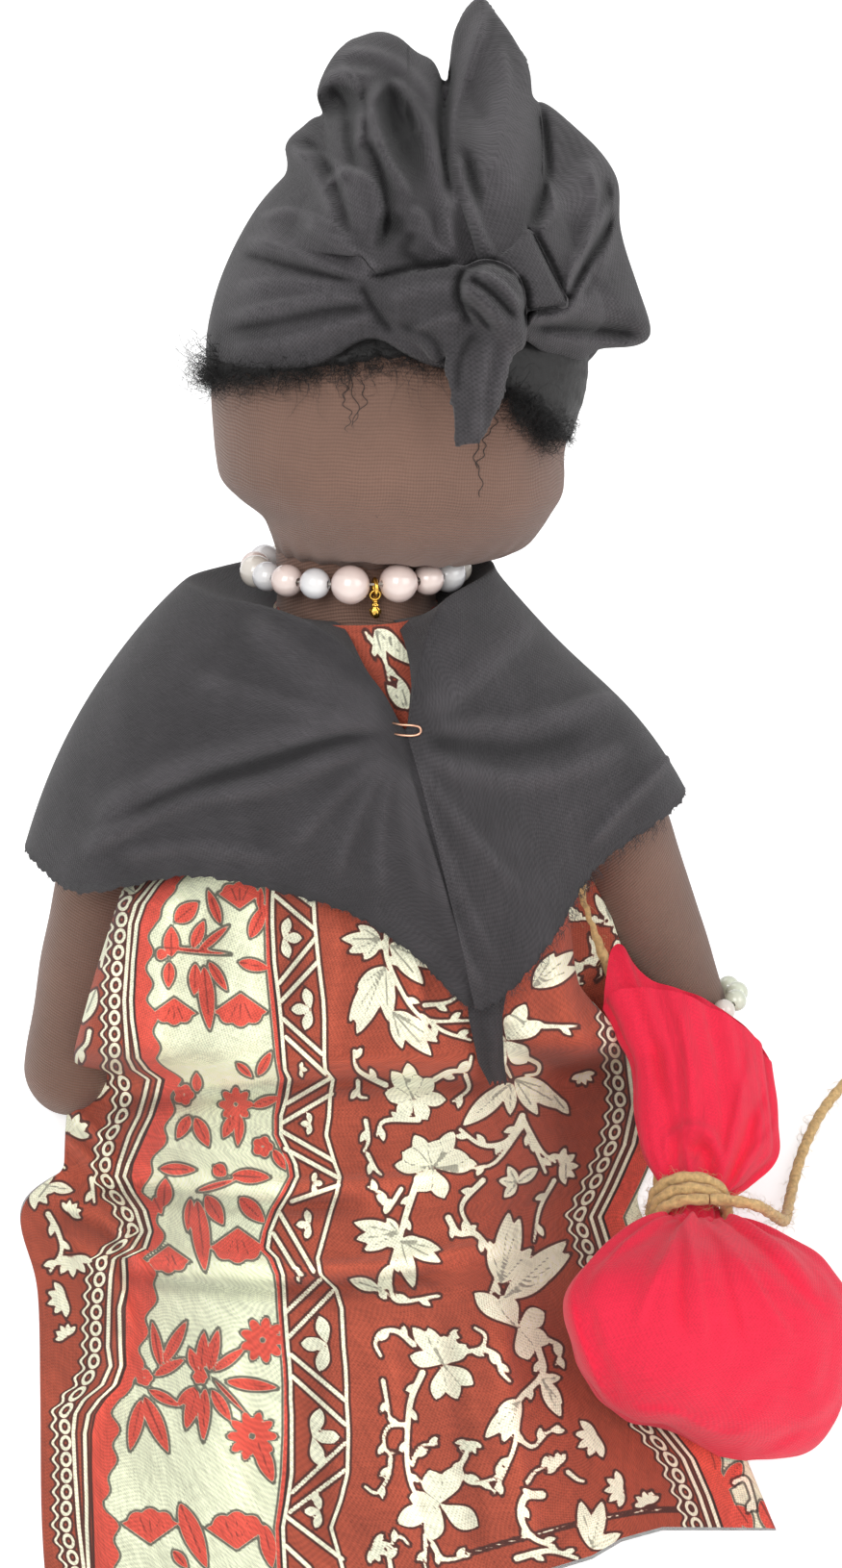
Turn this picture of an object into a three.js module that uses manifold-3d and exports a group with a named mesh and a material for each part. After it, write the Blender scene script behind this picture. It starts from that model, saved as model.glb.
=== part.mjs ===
// A seated cloth doll with no face: a stuffed body in a printed dress and a black shawl, a tied head wrap,
// a pearl necklace and bracelet, and a small red pouch tied with twine that lies over the left hand.
// Millimetres, +Z up. The doll faces -Y and leans back. The origin is on the floor under the pelvis.
import * as THREE from 'three';
import { mergeVertices } from 'three/addons/utils/BufferGeometryUtils.js';
import Module from 'manifold-3d';

const wasm = await Module();
wasm.setup();

// Driving dimensions: the body
const TURN = Math.PI * 2;
const leanAngle = THREE.MathUtils.degToRad(20);
const gap = 0.35;
const cutOverrun = 12;
const cutReach = 400;
const bodyWidth = 80;
const bodyDepth = 48;
const shoulderHeight = 134;
const neckRadius = 18.5;
const neckLength = 29;
const neckTop = shoulderHeight + neckLength;
const headWidth = 82;
const headDepth = 76;
const headSeat = 6.5;
const headBottom = neckTop - headSeat;
const headHeight = 77;
const headOffset = 9.5;
const headForward = 3;
const hairThickness = 1.5;
const tuftLength = 9;
const tuftRadius = 2.6;
const armRadius = 12.5;
const wristRadius = 10;
const legRadius = 13;

// Driving dimensions: the clothes
const dressWall = 1;
const chestRoom = 21;
const chestWidth = bodyWidth + chestRoom;
const skirtHalfWidth = 75;
const skirtLength = 104;
const lapHeight = 50;
const hemHeight = 3;
const shawlWall = 1.1;
const shawlRoom = 38;
const shawlHalfWidth = bodyWidth / 2 + shawlRoom;
const shawlNeckRadius = 31;
const shawlNeckRise = 16;
const shawlNeckHeight = shoulderHeight + shawlNeckRise;
const wrapWidth = 84;
const wrapHeight = 67;
const wrapRise = 29.5;
const wrapBottom = headBottom + wrapRise;
const knotSize = 13;
const wrapWall = 5;

// Driving dimensions: the jewellery
const pearlsLeft = [8.5, 6.8, 7.2, 6.6, 7.4, 6.8, 7.6, 6.8, 7.2, 7];
const pearlsRight = [8.5, 7, 8, 6.8, 7.4, 6.8, 7.6, 6.8, 7];
const pearlBore = 1.9;
const necklaceRise = 17.3;
const necklaceHeight = shoulderHeight + necklaceRise;
const stringDiameter = 0.5;
const pendantWire = 0.9;
const pendantSlack = 0.6;
const pendantRingRadius = 1.85;
const pendantEyeRadius = 1.1;
const pendantEyeWire = 0.6;
const pendantDropLength = 5;
const pendantDropDiameter = 2.4;
const braceletBead = 5.5;
const braceletCount = 14;
const braceletBore = 1.4;
const elasticDiameter = 0.7;
const pinWire = 0.9;
const pinWidth = 2.4;
const pinLength = 11;

// Driving dimensions: the pouch and its twine
const pouchAside = 76;
const pouchAhead = 69;
const pouchRise = 23.7;
const pouchWidth = 58;
const pouchLength = 52;
const pouchHeight = 43;
const pouchWall = 1.1;
const pouchNeckRadius = 6.5;
const flareLength = 38;
const twineDiameter = 2.8;
const twineTurns = 2;
const twinePitch = 3.3;

// A place on the leaning body: across x, along the spine, and forward of the spine
const spine = new THREE.Vector3(0, Math.sin(leanAngle), Math.cos(leanAngle));
const front = new THREE.Vector3(0, -Math.cos(leanAngle), Math.sin(leanAngle));
const across = new THREE.Vector3(1, 0, 0);
function onBody(x, along, forward) {
  return new THREE.Vector3(x, 0, 0).addScaledVector(spine, along).addScaledVector(front, forward);
}

function toGeometry(positions, index) {
  const geometry = new THREE.BufferGeometry();
  geometry.setAttribute('position', new THREE.Float32BufferAttribute(positions, 3));
  geometry.setIndex(index);
  return geometry;
}

// A closed skin over rings of equal point counts, with a point at each end
function closedLoft(rings, first, last) {
  const count = rings[0].length;
  const positions = [first, ...rings.flat(), last].flatMap((point) => [point.x, point.y, point.z]);
  const index = [];
  const at = (ring, i) => 1 + ring * count + (i % count);
  const end = 1 + rings.length * count;
  for (let i = 0; i < count; i++) {
    index.push(0, at(0, i + 1), at(0, i));
    index.push(end, at(rings.length - 1, i), at(rings.length - 1, i + 1));
    for (let ring = 0; ring < rings.length - 1; ring++) {
      index.push(at(ring, i), at(ring, i + 1), at(ring + 1, i + 1));
      index.push(at(ring, i), at(ring + 1, i + 1), at(ring + 1, i));
    }
  }
  return toGeometry(positions, index);
}

// An open tube with a wall: an outer grid and an inner grid of rings, joined along both rims
function walledTube(outer, inner) {
  const count = outer[0].length;
  const rows = outer.length;
  const rings = [...outer, ...inner.slice().reverse()];
  const positions = rings.flat().flatMap((point) => [point.x, point.y, point.z]);
  const index = [];
  for (let ring = 0; ring < 2 * rows; ring++) {
    const next = (ring + 1) % (2 * rows);
    for (let i = 0; i < count; i++) {
      const j = (i + 1) % count;
      index.push(ring * count + i, ring * count + j, next * count + j);
      index.push(ring * count + i, next * count + j, next * count + i);
    }
  }
  return toGeometry(positions, index);
}

function solid(geometry) {
  const merged = geometry.clone();
  merged.deleteAttribute('normal');
  merged.deleteAttribute('uv');
  const welded = mergeVertices(merged, 1e-4);
  const mesh = new wasm.Mesh({
    numProp: 3,
    vertProperties: new Float32Array(welded.attributes.position.array),
    triVerts: new Uint32Array(welded.index.array),
  });
  mesh.merge();
  const body = new wasm.Manifold(mesh);
  return body.volume() < 0 ? solid(turnedInsideOut(welded)) : body;
}

function turnedInsideOut(geometry) {
  const index = Array.from(geometry.index.array);
  for (let i = 0; i < index.length; i += 3) [index[i], index[i + 1]] = [index[i + 1], index[i]];
  return toGeometry(Array.from(geometry.attributes.position.array), index);
}

function surface(body) {
  const mesh = body.getMesh();
  const positions = [];
  for (let i = 0; i < mesh.numVert; i++) {
    for (let k = 0; k < 3; k++) positions.push(mesh.vertProperties[i * mesh.numProp + k]);
  }
  return toGeometry(positions, Array.from(mesh.triVerts));
}

function largestPiece(body) {
  return body.decompose().sort((one, other) => other.volume() - one.volume())[0];
}

function ball(radius, centre, scale = [1, 1, 1], detail = 12) {
  const geometry = new THREE.SphereGeometry(radius, detail * 2, detail);
  geometry.scale(...scale).translate(centre.x, centre.y, centre.z);
  return solid(geometry);
}

// A round bar of changing radius along a smooth path through hand-placed points, with rounded ends
function limb(points, radii, steps, sides, depths = radii) {
  const path = new THREE.CatmullRomCurve3(points, false, 'centripetal');
  const rings = [];
  for (let i = 0; i <= steps; i++) {
    const share = (1 - Math.cos((Math.PI * (i + 0.5)) / (steps + 1))) / 2;
    const tangent = path.getTangent(share);
    const side = new THREE.Vector3().crossVectors(tangent, front).normalize();
    const up = new THREE.Vector3().crossVectors(side, tangent).normalize();
    const place = share * (radii.length - 1);
    const low = Math.min(Math.floor(place), radii.length - 2);
    const radius = THREE.MathUtils.lerp(radii[low], radii[low + 1], place - low);
    const depth = THREE.MathUtils.lerp(depths[low], depths[low + 1], place - low);
    const fromEnd = Math.min(share, 1 - share) * path.getLength();
    const roundness = fromEnd < radius ? Math.sqrt(1 - (1 - fromEnd / radius) ** 2) : 1;
    const centre = path.getPoint(share);
    rings.push(Array.from({ length: sides }, (_, k) => {
      const angle = (TURN * k) / sides;
      return centre.clone()
        .addScaledVector(side, radius * roundness * Math.cos(angle))
        .addScaledVector(up, depth * roundness * Math.sin(angle));
    }));
  }
  return closedLoft(rings, path.getPoint(0), path.getPoint(1));
}

// A stack of oval sections across the spine: each has its height, centre, half width and half depth
function stack(sections, sides, roundPower = 2) {
  const ringOf = ({ along, x, forward, width, depth }) => Array.from({ length: sides }, (_, k) => {
    const c = Math.cos((TURN * k) / sides);
    const s = Math.sin((TURN * k) / sides);
    const across2 = Math.sign(c) * Math.abs(c) ** (2 / roundPower);
    const forward2 = Math.sign(s) * Math.abs(s) ** (2 / roundPower);
    return onBody(x + width * across2, along, forward + depth * forward2);
  });
  const rings = sections.map(ringOf);
  const endOf = ({ along, x, forward }) => onBody(x, along, forward);
  return closedLoft(rings, endOf(sections[0]), endOf(sections[sections.length - 1]));
}

function halfSpaceAbove(along, slope) {
  const slab = new THREE.BoxGeometry(cutReach, cutReach, cutReach);
  slab.translate(0, 0, cutReach / 2);
  const tilt = Math.atan(slope);
  slab.rotateX(-leanAngle - tilt);
  const centre = onBody(0, along, 0);
  slab.translate(centre.x, centre.y, centre.z);
  return solid(slab);
}

// Torso and neck: sections as shares of the half width and half depth, heights as shares of the shoulder
const torsoShares = [
  [-0.06, 0.52, 0.66], [0, 0.72, 0.9], [0.14, 0.82, 1.02], [0.34, 0.87, 1], [0.55, 0.88, 0.9],
  [0.78, 0.84, 0.82], [0.92, 0.86, 0.76], [0.985, 0.72, 0.72], [1.03, 0.56, 0.72],
];
function torsoSections(grow = 0) {
  const body = torsoShares.map(([height, width, depth]) => ({
    along: shoulderHeight * height,
    x: 0,
    forward: 0,
    width: (bodyWidth / 2) * width + grow,
    depth: (bodyDepth / 2) * depth + grow,
  }));
  const neckBase = shoulderHeight + neckRadius / 2;
  const neck = [neckBase, neckTop - gap].map((along) => (
    { along, x: 0, forward: 0, width: neckRadius + grow, depth: neckRadius + grow }
  ));
  return [...body, ...neck];
}
const shoulderOutShare = 1 / 3;
const shoulderDropShare = 0.85;
const shoulderX = bodyWidth / 2 + armRadius * shoulderOutShare;
const shoulderAlong = shoulderHeight - armRadius * shoulderDropShare;
const shoulders = [-1, 1].map((side) => onBody(side * shoulderX, shoulderAlong, 0));
const seatThickness = dressWall + gap;
const torsoSides = 26;

function aboveFloor(body, height) {
  const slab = new THREE.BoxGeometry(cutReach, cutReach, cutReach);
  slab.translate(0, 0, height + cutReach / 2);
  return body.intersect(solid(slab));
}
let torso = aboveFloor(solid(stack(torsoSections(), torsoSides)), seatThickness);
for (const shoulder of shoulders) torso = torso.subtract(ball(armRadius + gap, shoulder));

// Head: heights as shares of its height, widths and depths as shares of its half sizes
const headShares = [
  [0, 0.36, 0.34, 0.3], [0.03, 0.6, 0.58, 0.7], [0.08, 0.79, 0.76, 0.9], [0.17, 0.91, 0.91, 1],
  [0.28, 0.98, 0.98, 1], [0.4, 1, 1, 1], [0.5, 0.965, 0.99, 1], [0.58, 0.9, 0.96, 1], [0.7, 0.79, 0.87, 1],
  [0.83, 0.62, 0.72, 1], [0.93, 0.4, 0.48, 1], [0.985, 0.18, 0.22, 1],
];
function headSections(grow) {
  const middle = headBottom + headHeight / 2;
  return headShares.map(([height, width, depth, offset]) => ({
    along: middle + (height - 0.5) * (headHeight + 2 * grow),
    x: headOffset * offset,
    forward: headForward * offset,
    width: (headWidth / 2) * width + grow,
    depth: (headDepth / 2) * depth + grow,
  }));
}
const headSides = 22;
const headRoundPower = 2.15;
const headSolid = (grow) => solid(stack(headSections(grow), headSides, headRoundPower));
const neckSocket = (() => {
  const depth = neckTop + gap - headBottom + cutOverrun;
  const geometry = new THREE.CylinderGeometry(neckRadius + gap, neckRadius + gap, depth, 32);
  geometry.rotateX(Math.PI / 2 - leanAngle);
  const centre = onBody(0, neckTop + gap - depth / 2, 0);
  return solid(geometry.translate(centre.x, centre.y, centre.z));
})();
const head = headSolid(0).subtract(neckSocket);

// Hair: a thin sewn cap over the crown and the nape, and a tuft at the doll's right temple
const hairlineShare = 0.422;
const hairlineHeight = headBottom + headHeight * hairlineShare;
const hairlineSlope = 0.15;
const hairOuter = hairThickness + gap;
const hairCap = largestPiece(
  headSolid(hairOuter).subtract(headSolid(gap))
    .intersect(halfSpaceAbove(hairlineHeight, hairlineSlope)),
);
const wrapInner = hairOuter + gap;
const tuftHeight = hairlineHeight + tuftRadius;
const tuftForward = (headDepth / 2) * 0.37;
const tuftRoot = headOffset - headWidth / 2 + tuftRadius;
const tuftShares = [[0, 0], [0.45, 0.12], [1, 0.04]];
const tuftWidthShares = [1, 1, 0.7];
const hairTuft = largestPiece(solid(limb(
  tuftShares.map(([out, up]) => onBody(
    tuftRoot - out * (tuftLength + tuftRadius),
    tuftHeight + up * tuftLength,
    tuftForward,
  )),
  tuftWidthShares.map((share) => tuftRadius * share), 6, 8,
)).subtract(headSolid(wrapInner)));

// Head wrap: a wound dome, a standing loop, a standing peak, a wing, the knot and its tail
const wrapShares = [
  [0, 0.96, 0.95, 0.25], [0.18, 0.985, 0.99, 0.27], [0.36, 1.01, 1.02, 0.31], [0.54, 1, 1, 0.36],
  [0.72, 0.88, 0.9, 0.44], [0.87, 0.66, 0.7, 0.48], [0.97, 0.36, 0.4, 0.48], [1, 0.12, 0.14, 0.48],
];
const wrapHalf = wrapWidth / 2;
const wrapStack = (wall) => solid(stack(wrapShares.map(([height, width, depth, offset]) => ({
  along: wrapBottom + (wrapHeight - wall) * height,
  x: wrapHalf * offset,
  forward: headForward,
  width: Math.max(wrapHalf * width - wall, gap),
  depth: Math.max(wrapHalf * depth - wall, gap),
})), headSides));
const wrapDome = wrapStack(0);
const wrapHollow = wrapStack(wrapWall);
// A fold of the scarf: places as shares of the half width and the height, sizes as shares of the half width
const wrapPlace = ([x, height, forward]) => onBody(
  wrapHalf * x, wrapBottom + wrapHeight * height, headForward + wrapHalf * forward,
);
function scarfFold(placeShares, widthShares, depthShares, steps, sides) {
  const points = placeShares.map(wrapPlace);
  const scaled = (shares) => shares.map((share) => wrapHalf * share);
  return solid(limb(points, scaled(widthShares), steps, sides, scaled(depthShares)));
}
const loopShares = [[0.08, 0.5, 0.9], [0.07, 0.69, 0.88], [0.09, 0.9, 0.64], [0.14, 1.06, 0.31], [0.17, 1.16, 0.05]];
const peakShares = [[0.7, 0.42, 0.98], [0.74, 0.69, 0.9], [0.79, 0.9, 0.66], [0.74, 1.07, 0.31], [0.65, 1.28, -0.05]];
const wingShares = [[0.8, 0.4, 0.88], [1.15, 0.44, 0.66], [1.36, 0.38, 0.34], [1.54, 0.26, 0]];
const tailShares = [[0.69, 0.4, 1.02], [0.63, 0.15, 1], [0.6, -0.03, 0.92]];
const standingLoop = scarfFold(loopShares, [0.13, 0.36, 0.42, 0.36, 0.2], [0.09, 0.18, 0.22, 0.2, 0.12], 11, 12);
const standingPeak = scarfFold(peakShares, [0.1, 0.24, 0.32, 0.24, 0.03], [0.08, 0.12, 0.14, 0.1, 0.03], 11, 10);
const wing = scarfFold(wingShares, [0.12, 0.24, 0.22, 0.05], [0.1, 0.15, 0.14, 0.05], 8, 10);
const tail = scarfFold(tailShares, [0.12, 0.17, 0.1], [0.035, 0.03, 0.025], 6, 8);
const knotShares = [1, 0.95, 1.05];
const hollowShares = [0.5, 1.2, 1.5];
const knot = ball(knotSize / 2, wrapPlace([0.7, 0.38, 1.07]), knotShares, 7);
const loopHollow = ball(knotSize / 2, wrapPlace([0.3, 0.86, 0.9]), hollowShares, 7);
const wrapEdgeShare = 0.125;
const wrapEdgeHeight = wrapBottom + wrapHeight * wrapEdgeShare;
const wrapEdgeSlope = 0.12;
const headWrap = largestPiece(
  wrapDome.intersect(halfSpaceAbove(wrapEdgeHeight, wrapEdgeSlope))
    .add(standingLoop).add(standingPeak).add(wing.intersect(
      halfSpaceAbove(wrapEdgeHeight, wrapEdgeSlope),
    )).subtract(loopHollow).add(knot).add(tail)
    .subtract(wrapHollow).subtract(headSolid(wrapInner)),
);

// Arms: stuffed limbs from the shoulder to the hand; places as shares of the body's half width and height
const bodyHalf = bodyWidth / 2;
const bodyPlace = ([x, y, z]) => new THREE.Vector3(bodyHalf * x, bodyHalf * y, shoulderHeight * z);
const armRightShares = [[-1.42, 0.93, 0.6], [-1.66, 0.76, 0.34], [-1.93, 0.48, 0.012]];
const armLeftShares = [[1.42, 0.94, 0.66], [1.74, 0.84, 0.44], [2.07, 0.64, 0.19], [2.16, 0.02, 0.045]];
const armWidthShares = [1, 1, 1, 0.9];
const upperWidthShares = [1, 1, 0.94];
const handWidthShares = [1, 1.03];
const armRight = (grow) => solid(limb(
  [shoulders[0], ...armRightShares.map(bodyPlace)],
  armWidthShares.map((share) => armRadius * share + grow), 11, 14,
)).add(ball(armRadius + grow, shoulders[0], [1, 1, 1], 8));
const armLeft = (grow) => solid(limb(
  [shoulders[1], ...armLeftShares.map(bodyPlace)],
  [
    ...upperWidthShares.map((share) => armRadius * share + grow),
    ...handWidthShares.map((share) => wristRadius * share + grow),
  ], 14, 14,
)).add(ball(armRadius + grow, shoulders[1], [1, 1, 1], 8));

// Bracelet: beads on an elastic round the left wrist
const wristPath = new THREE.CatmullRomCurve3([shoulders[1], ...armLeftShares.map(bodyPlace)], false, 'centripetal');
const wristShare = 0.72;
const wristCentre = wristPath.getPoint(wristShare);
const wristAxis = wristPath.getTangent(wristShare);
const braceletRadius = wristRadius + 2 * gap + braceletBead / 2;
const wristOut = across.clone().addScaledVector(wristAxis, -across.dot(wristAxis)).normalize();
const braceletBeads = Array.from({ length: braceletCount }, (_, i) => threaded(
  bead(braceletBead, braceletBore, 5, 7),
  onRing(wristCentre, wristAxis, wristOut, braceletRadius, (TURN * i) / braceletCount),
));
const braceletElastic = ringWire(wristCentre, wristAxis, braceletRadius, elasticDiameter, 28, 5);

// Dress: rings from the neckline down the body, round the lap, and forward to the hem on the floor.
// A bodice row is [front along, front forward, back along, back forward, half width]
const bodiceShares = [
  [1.037, 0.96, 1.097, -0.88, 0.475], [1, 1.06, 1.052, -0.94, 0.66], [0.95, 1.15, 0.985, -0.96, 0.82],
  [0.86, 1.23, 0.88, -0.96, 0.88], [0.71, 1.29, 0.71, -0.96, 0.92], [0.56, 1.35, 0.52, -1.04, 0.98],
  [0.43, 1.42, 0.36, -1.21, 1.03], [0.343, 1.46, 0.21, -1.33, 1.07],
];
// A lap row is [front y, front z, back y, back z, left edge, right edge, share of mound in its section]
const lapShares = [
  [-0.17, 1, 0.41, 0.05, -0.74, 0.74, 0.5], [-0.24, 0.95, 0.375, 0, -0.76, 0.78, 1],
  [-0.35, 0.84, 0.11, 0, -0.82, 0.85, 1], [-0.5, 0.7, -0.1, 0, -1.1, 0.9, 1],
  [-0.65, 0.54, -0.35, 0, -1, 0.98, 1], [-0.81, 0.34, -0.6, 0, -0.93, 1.06, 1],
  [-0.93, 0.17, -0.83, 0, -0.87, 1.13, 1], [-1.01, 0, -1, 0, -0.82, 1.18, 1],
];
const chestHalf = chestWidth / 2;
const bodyDeep = bodyDepth / 2;
const moundHalfWidth = 44;
const sidePower = 2.3;
const leastRiseShare = 0.3;
const moundPower = 0.35;
const dressSides = 30;
const dressRows = [
  ...bodiceShares.map(([frontAlong, frontForward, backAlong, backForward, half]) => ({
    front: onBody(0, shoulderHeight * frontAlong, bodyDeep * frontForward),
    back: onBody(0, shoulderHeight * backAlong, bodyDeep * backForward),
    left: -chestHalf * half,
    right: chestHalf * half,
    mound: 0,
  })),
  ...lapShares.map(([frontY, frontZ, backY, backZ, left, right, mound]) => ({
    front: new THREE.Vector3(0, skirtLength * frontY, Math.max(lapHeight * frontZ, hemHeight)),
    back: new THREE.Vector3(0, skirtLength * backY, lapHeight * backZ),
    left: skirtHalfWidth * left,
    right: skirtHalfWidth * right,
    mound,
  })),
];
function dressRing({ front: top, back: low, left, right, mound }, inset) {
  const rise = top.clone().sub(low);
  const direction = rise.clone().normalize();
  const steep = mound > 0 ? Math.max(direction.z, leastRiseShare) : 1;
  const inTop = top.clone().addScaledVector(direction, -inset);
  const inLow = low.clone().addScaledVector(direction, inset / steep);
  const half = (right - left) / 2 - inset * (1 + mound);
  const middle = (left + right) / 2;
  const deep = inTop.clone().sub(inLow);
  const edge = Math.min((hemHeight - 2 * inset) / deep.length() / Math.max(direction.z, leastRiseShare), 1);
  return Array.from({ length: dressSides }, (_, k) => {
    const c = Math.cos((TURN * k) / dressSides);
    const s = Math.sin((TURN * k) / dressSides);
    const ovalX = Math.sign(c) * Math.abs(c) ** (2 / sidePower);
    const ovalRise = 0.5 + 0.5 * Math.sign(s) * Math.abs(s) ** (2 / sidePower);
    const x = middle + half * THREE.MathUtils.lerp(ovalX, c, mound);
    const swell = Math.exp(-((x / moundHalfWidth) ** 4));
    const moundRise = s > 0 ? (edge + (1 - edge) * swell) * s ** moundPower : 0;
    const height = THREE.MathUtils.lerp(ovalRise, moundRise, mound);
    return new THREE.Vector3(x, 0, 0).add(inLow).addScaledVector(deep, height);
  });
}
const dressShell = solid(walledTube(
  dressRows.map((row) => dressRing(row, 0)),
  dressRows.map((row) => dressRing(row, dressWall)),
));
const armholeRoom = gap + dressWall;
const braceletRoom = solid(ringWire(wristCentre, wristAxis, braceletRadius, braceletBead + 2 * gap, 28, 10));
const dress = largestPiece(dressShell.subtract(armRight(armholeRoom)).subtract(armLeft(armholeRoom))
  .subtract(braceletRoom));
const dressInside = (() => {
  const rings = dressRows.map((row) => dressRing(row, dressWall + gap));
  const middleOf = (ring) => ring.reduce((sum, point) => sum.add(point), new THREE.Vector3())
    .divideScalar(ring.length);
  return solid(closedLoft(rings.slice().reverse(), middleOf(rings[rings.length - 1]), middleOf(rings[0])));
})();

// Legs: short stuffed limbs stretched forward on the floor inside the skirt
const legShares = [[0.5, 0.2, 0.13], [0.58, -0.9, 0.125], [0.64, -1.55, 0.1], [0.68, -2.12, 0.065]];
const torsoGrown = solid(stack(torsoSections(gap), torsoSides));
const legWidthShares = [1, 1, 0.9, 0.5];
const leg = (side) => largestPiece(solid(limb(
  legShares.map(([x, y, z]) => bodyPlace([side * x, y, z])),
  legWidthShares.map((share) => legRadius * share), 10, 12,
)).subtract(torsoGrown).intersect(dressInside));

// Shawl: neckline and hem as places [x, along, forward] in shares, with the swell over the shoulders
const shawlNeckShares = [
  [0.37, 0.81, 1.06], [0.45, 0.893, 1], [0.62, 0.98, 0.73], [1, 1.007, 0.07], [0.87, 1.013, -0.47],
  [0.47, 1.013, -0.87], [0, 1.007, -1], [-0.47, 1, -0.9], [-0.87, 0.99, -0.5], [-1.02, 0.98, 0],
  [-0.83, 0.963, 0.47], [-0.47, 0.95, 0.82], [-0.1, 0.927, 0.95], [0.2, 0.867, 1.02],
];
const shawlHemShares = [
  [0.35, 0.39, 1.18], [0.55, 0.49, 1.03], [0.73, 0.59, 0.6], [0.985, 0.645, 0], [0.9, 0.62, -0.7],
  [0.46, 0.56, -1.16], [0, 0.53, -1.24], [-0.46, 0.53, -1.16], [-0.94, 0.54, -0.74], [-1.0, 0.55, 0],
  [-0.8, 0.535, 0.66], [-0.45, 0.587, 1.06], [-0.1, 0.56, 1.2], [0.15, 0.487, 1.22],
];
const shawlSwellShares = [0.15, 0.2, 0.6, 0.85, 0.75, 0.45, 0.3, 0.5, 1, 1.15, 0.95, 0.45, 0.2, 0.15];
const shawlSwell = 10;
const shawlRipple = 0.9;
const swellOutShare = 0.8;
const swellUpShare = 0.6;
const swellPower = 0.7;
const shawlFolds = 9;
const shawlSides = 42;
const shawlRows = 8;
const ringCurve = (points) => new THREE.CatmullRomCurve3(points, true, 'catmullrom', 0.5);
const shawlNeck = ringCurve(shawlNeckShares.map(([x, along, forward]) => onBody(
  shawlNeckRadius * x, shawlNeckHeight * along, shawlNeckRadius * forward,
)));
const shawlHem = ringCurve(shawlHemShares.map(([x, along, forward]) => onBody(
  shawlHalfWidth * x, shawlNeckHeight * along, shawlNeckRadius * forward,
)));
const shawlSwells = ringCurve(shawlSwellShares.map((share) => new THREE.Vector3(shawlSwell * share, 0, 0)));
function shawlPoint(turn, down) {
  const neck = shawlNeck.getPoint(turn);
  const hem = shawlHem.getPoint(turn);
  const place = neck.clone().lerp(hem, down);
  const outward = neck.clone().add(hem).setY(0).setZ(0)
    .addScaledVector(front, 2 * neck.clone().add(hem).dot(front)).normalize();
  const swell = shawlSwells.getPoint(turn).x * Math.sin(Math.PI * down ** swellPower);
  const ripple = shawlRipple * down * (1 - Math.cos(TURN * shawlFolds * turn));
  return place.addScaledVector(outward, swell * swellOutShare + ripple)
    .addScaledVector(spine, swell * swellUpShare);
}
function grid(point, rows, count) {
  return Array.from({ length: rows }, (_, row) => (
    Array.from({ length: count }, (_, k) => point(k / count, row / (rows - 1)))
  ));
}
// The inner side of a cloth: each point moved in by the wall, along the grid's own normal
function innerSide(rings, wall, towards) {
  const count = rings[0].length;
  return rings.map((ring, row) => ring.map((point, k) => {
    const along = rings[Math.min(row + 1, rings.length - 1)][k].clone()
      .sub(rings[Math.max(row - 1, 0)][k]);
    const round = ring[(k + 1) % count].clone().sub(ring[(k + count - 1) % count]);
    const normal = new THREE.Vector3().crossVectors(along, round).normalize();
    if (normal.dot(towards(point)) < 0) normal.negate();
    return point.clone().addScaledVector(normal, wall);
  }));
}
const towardsSpine = (point) => spine.clone().multiplyScalar(point.dot(spine) - shawlNeckRadius).sub(point);
const shawlOuter = grid(shawlPoint, shawlRows, shawlSides);
const shawlShell = solid(walledTube(shawlOuter, innerSide(shawlOuter, shawlWall, towardsSpine)));

// Safety pin: one bent wire whose two legs pass under the shawl at the front
const pinDownShare = 0.04;
const pinPlace = shawlPoint(0, pinDownShare);
const pinShares = [
  [-1, -0.5, -0.34], [-0.55, -0.5, -0.3], [-0.2, -0.5, -0.02], [0.1, -0.5, 0.06], [0.3, -0.36, 0.06],
  [0.36, 0, 0.06], [0.3, 0.36, 0.06], [0.1, 0.5, 0.06], [-0.2, 0.5, -0.02], [-0.55, 0.5, -0.3], [-1, 0.5, -0.34],
];
const pinRoute = new THREE.CatmullRomCurve3(pinShares.map(([x, up, forward]) => pinPlace.clone()
  .addScaledVector(across, pinLength * x)
  .addScaledVector(spine, pinWidth * up)
  .addScaledVector(front, pinLength * forward + pinWire)));
const pinBar = (radius) => solid(tube(pinRoute.getPoints(22), 2 * radius, 6));
const safetyPin = pinBar(pinWire / 2);
const shawl = largestPiece(shawlShell.subtract(pinBar(pinWire / 2 + gap)));

// Pearls: bored beads on a string round the neck, with a slot for the pendant at the front
function bead(diameter, bore, arcPoints, sides) {
  const radius = diameter / 2;
  const start = Math.asin(bore / 2 / radius);
  const profile = Array.from({ length: arcPoints }, (_, i) => {
    const angle = start + ((Math.PI - 2 * start) * i) / (arcPoints - 1);
    return new THREE.Vector2(radius * Math.sin(angle), -radius * Math.cos(angle));
  });
  return new THREE.LatheGeometry([...profile, profile[0]], sides);
}
// A place on a ring round an axis, and the turn that lays a bead's bore along the ring there
function onRing(centre, axis, zero, radius, angle) {
  const side = new THREE.Vector3().crossVectors(axis, zero).normalize();
  const outward = zero.clone().multiplyScalar(Math.cos(angle)).addScaledVector(side, Math.sin(angle));
  const tangent = new THREE.Vector3().crossVectors(axis, outward).normalize();
  return { place: centre.clone().addScaledVector(outward, radius), outward, tangent };
}
function threaded(geometry, { place, tangent }) {
  geometry.applyQuaternion(new THREE.Quaternion().setFromUnitVectors(new THREE.Vector3(0, 1, 0), tangent));
  return geometry.translate(place.x, place.y, place.z);
}
function ringWire(centre, axis, radius, wire, steps, sides) {
  const geometry = new THREE.TorusGeometry(radius, wire / 2, sides, steps);
  geometry.applyQuaternion(new THREE.Quaternion().setFromUnitVectors(new THREE.Vector3(0, 0, 1), axis));
  return geometry.translate(centre.x, centre.y, centre.z);
}
const necklaceRadius = neckRadius + gap + Math.max(...pearlsLeft) / 2;
const necklaceCentre = onBody(0, necklaceHeight, 0);
const pendantAngle = 0.21;
const pendantSlot = pendantWire + 2 * gap + pendantSlack;
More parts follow.
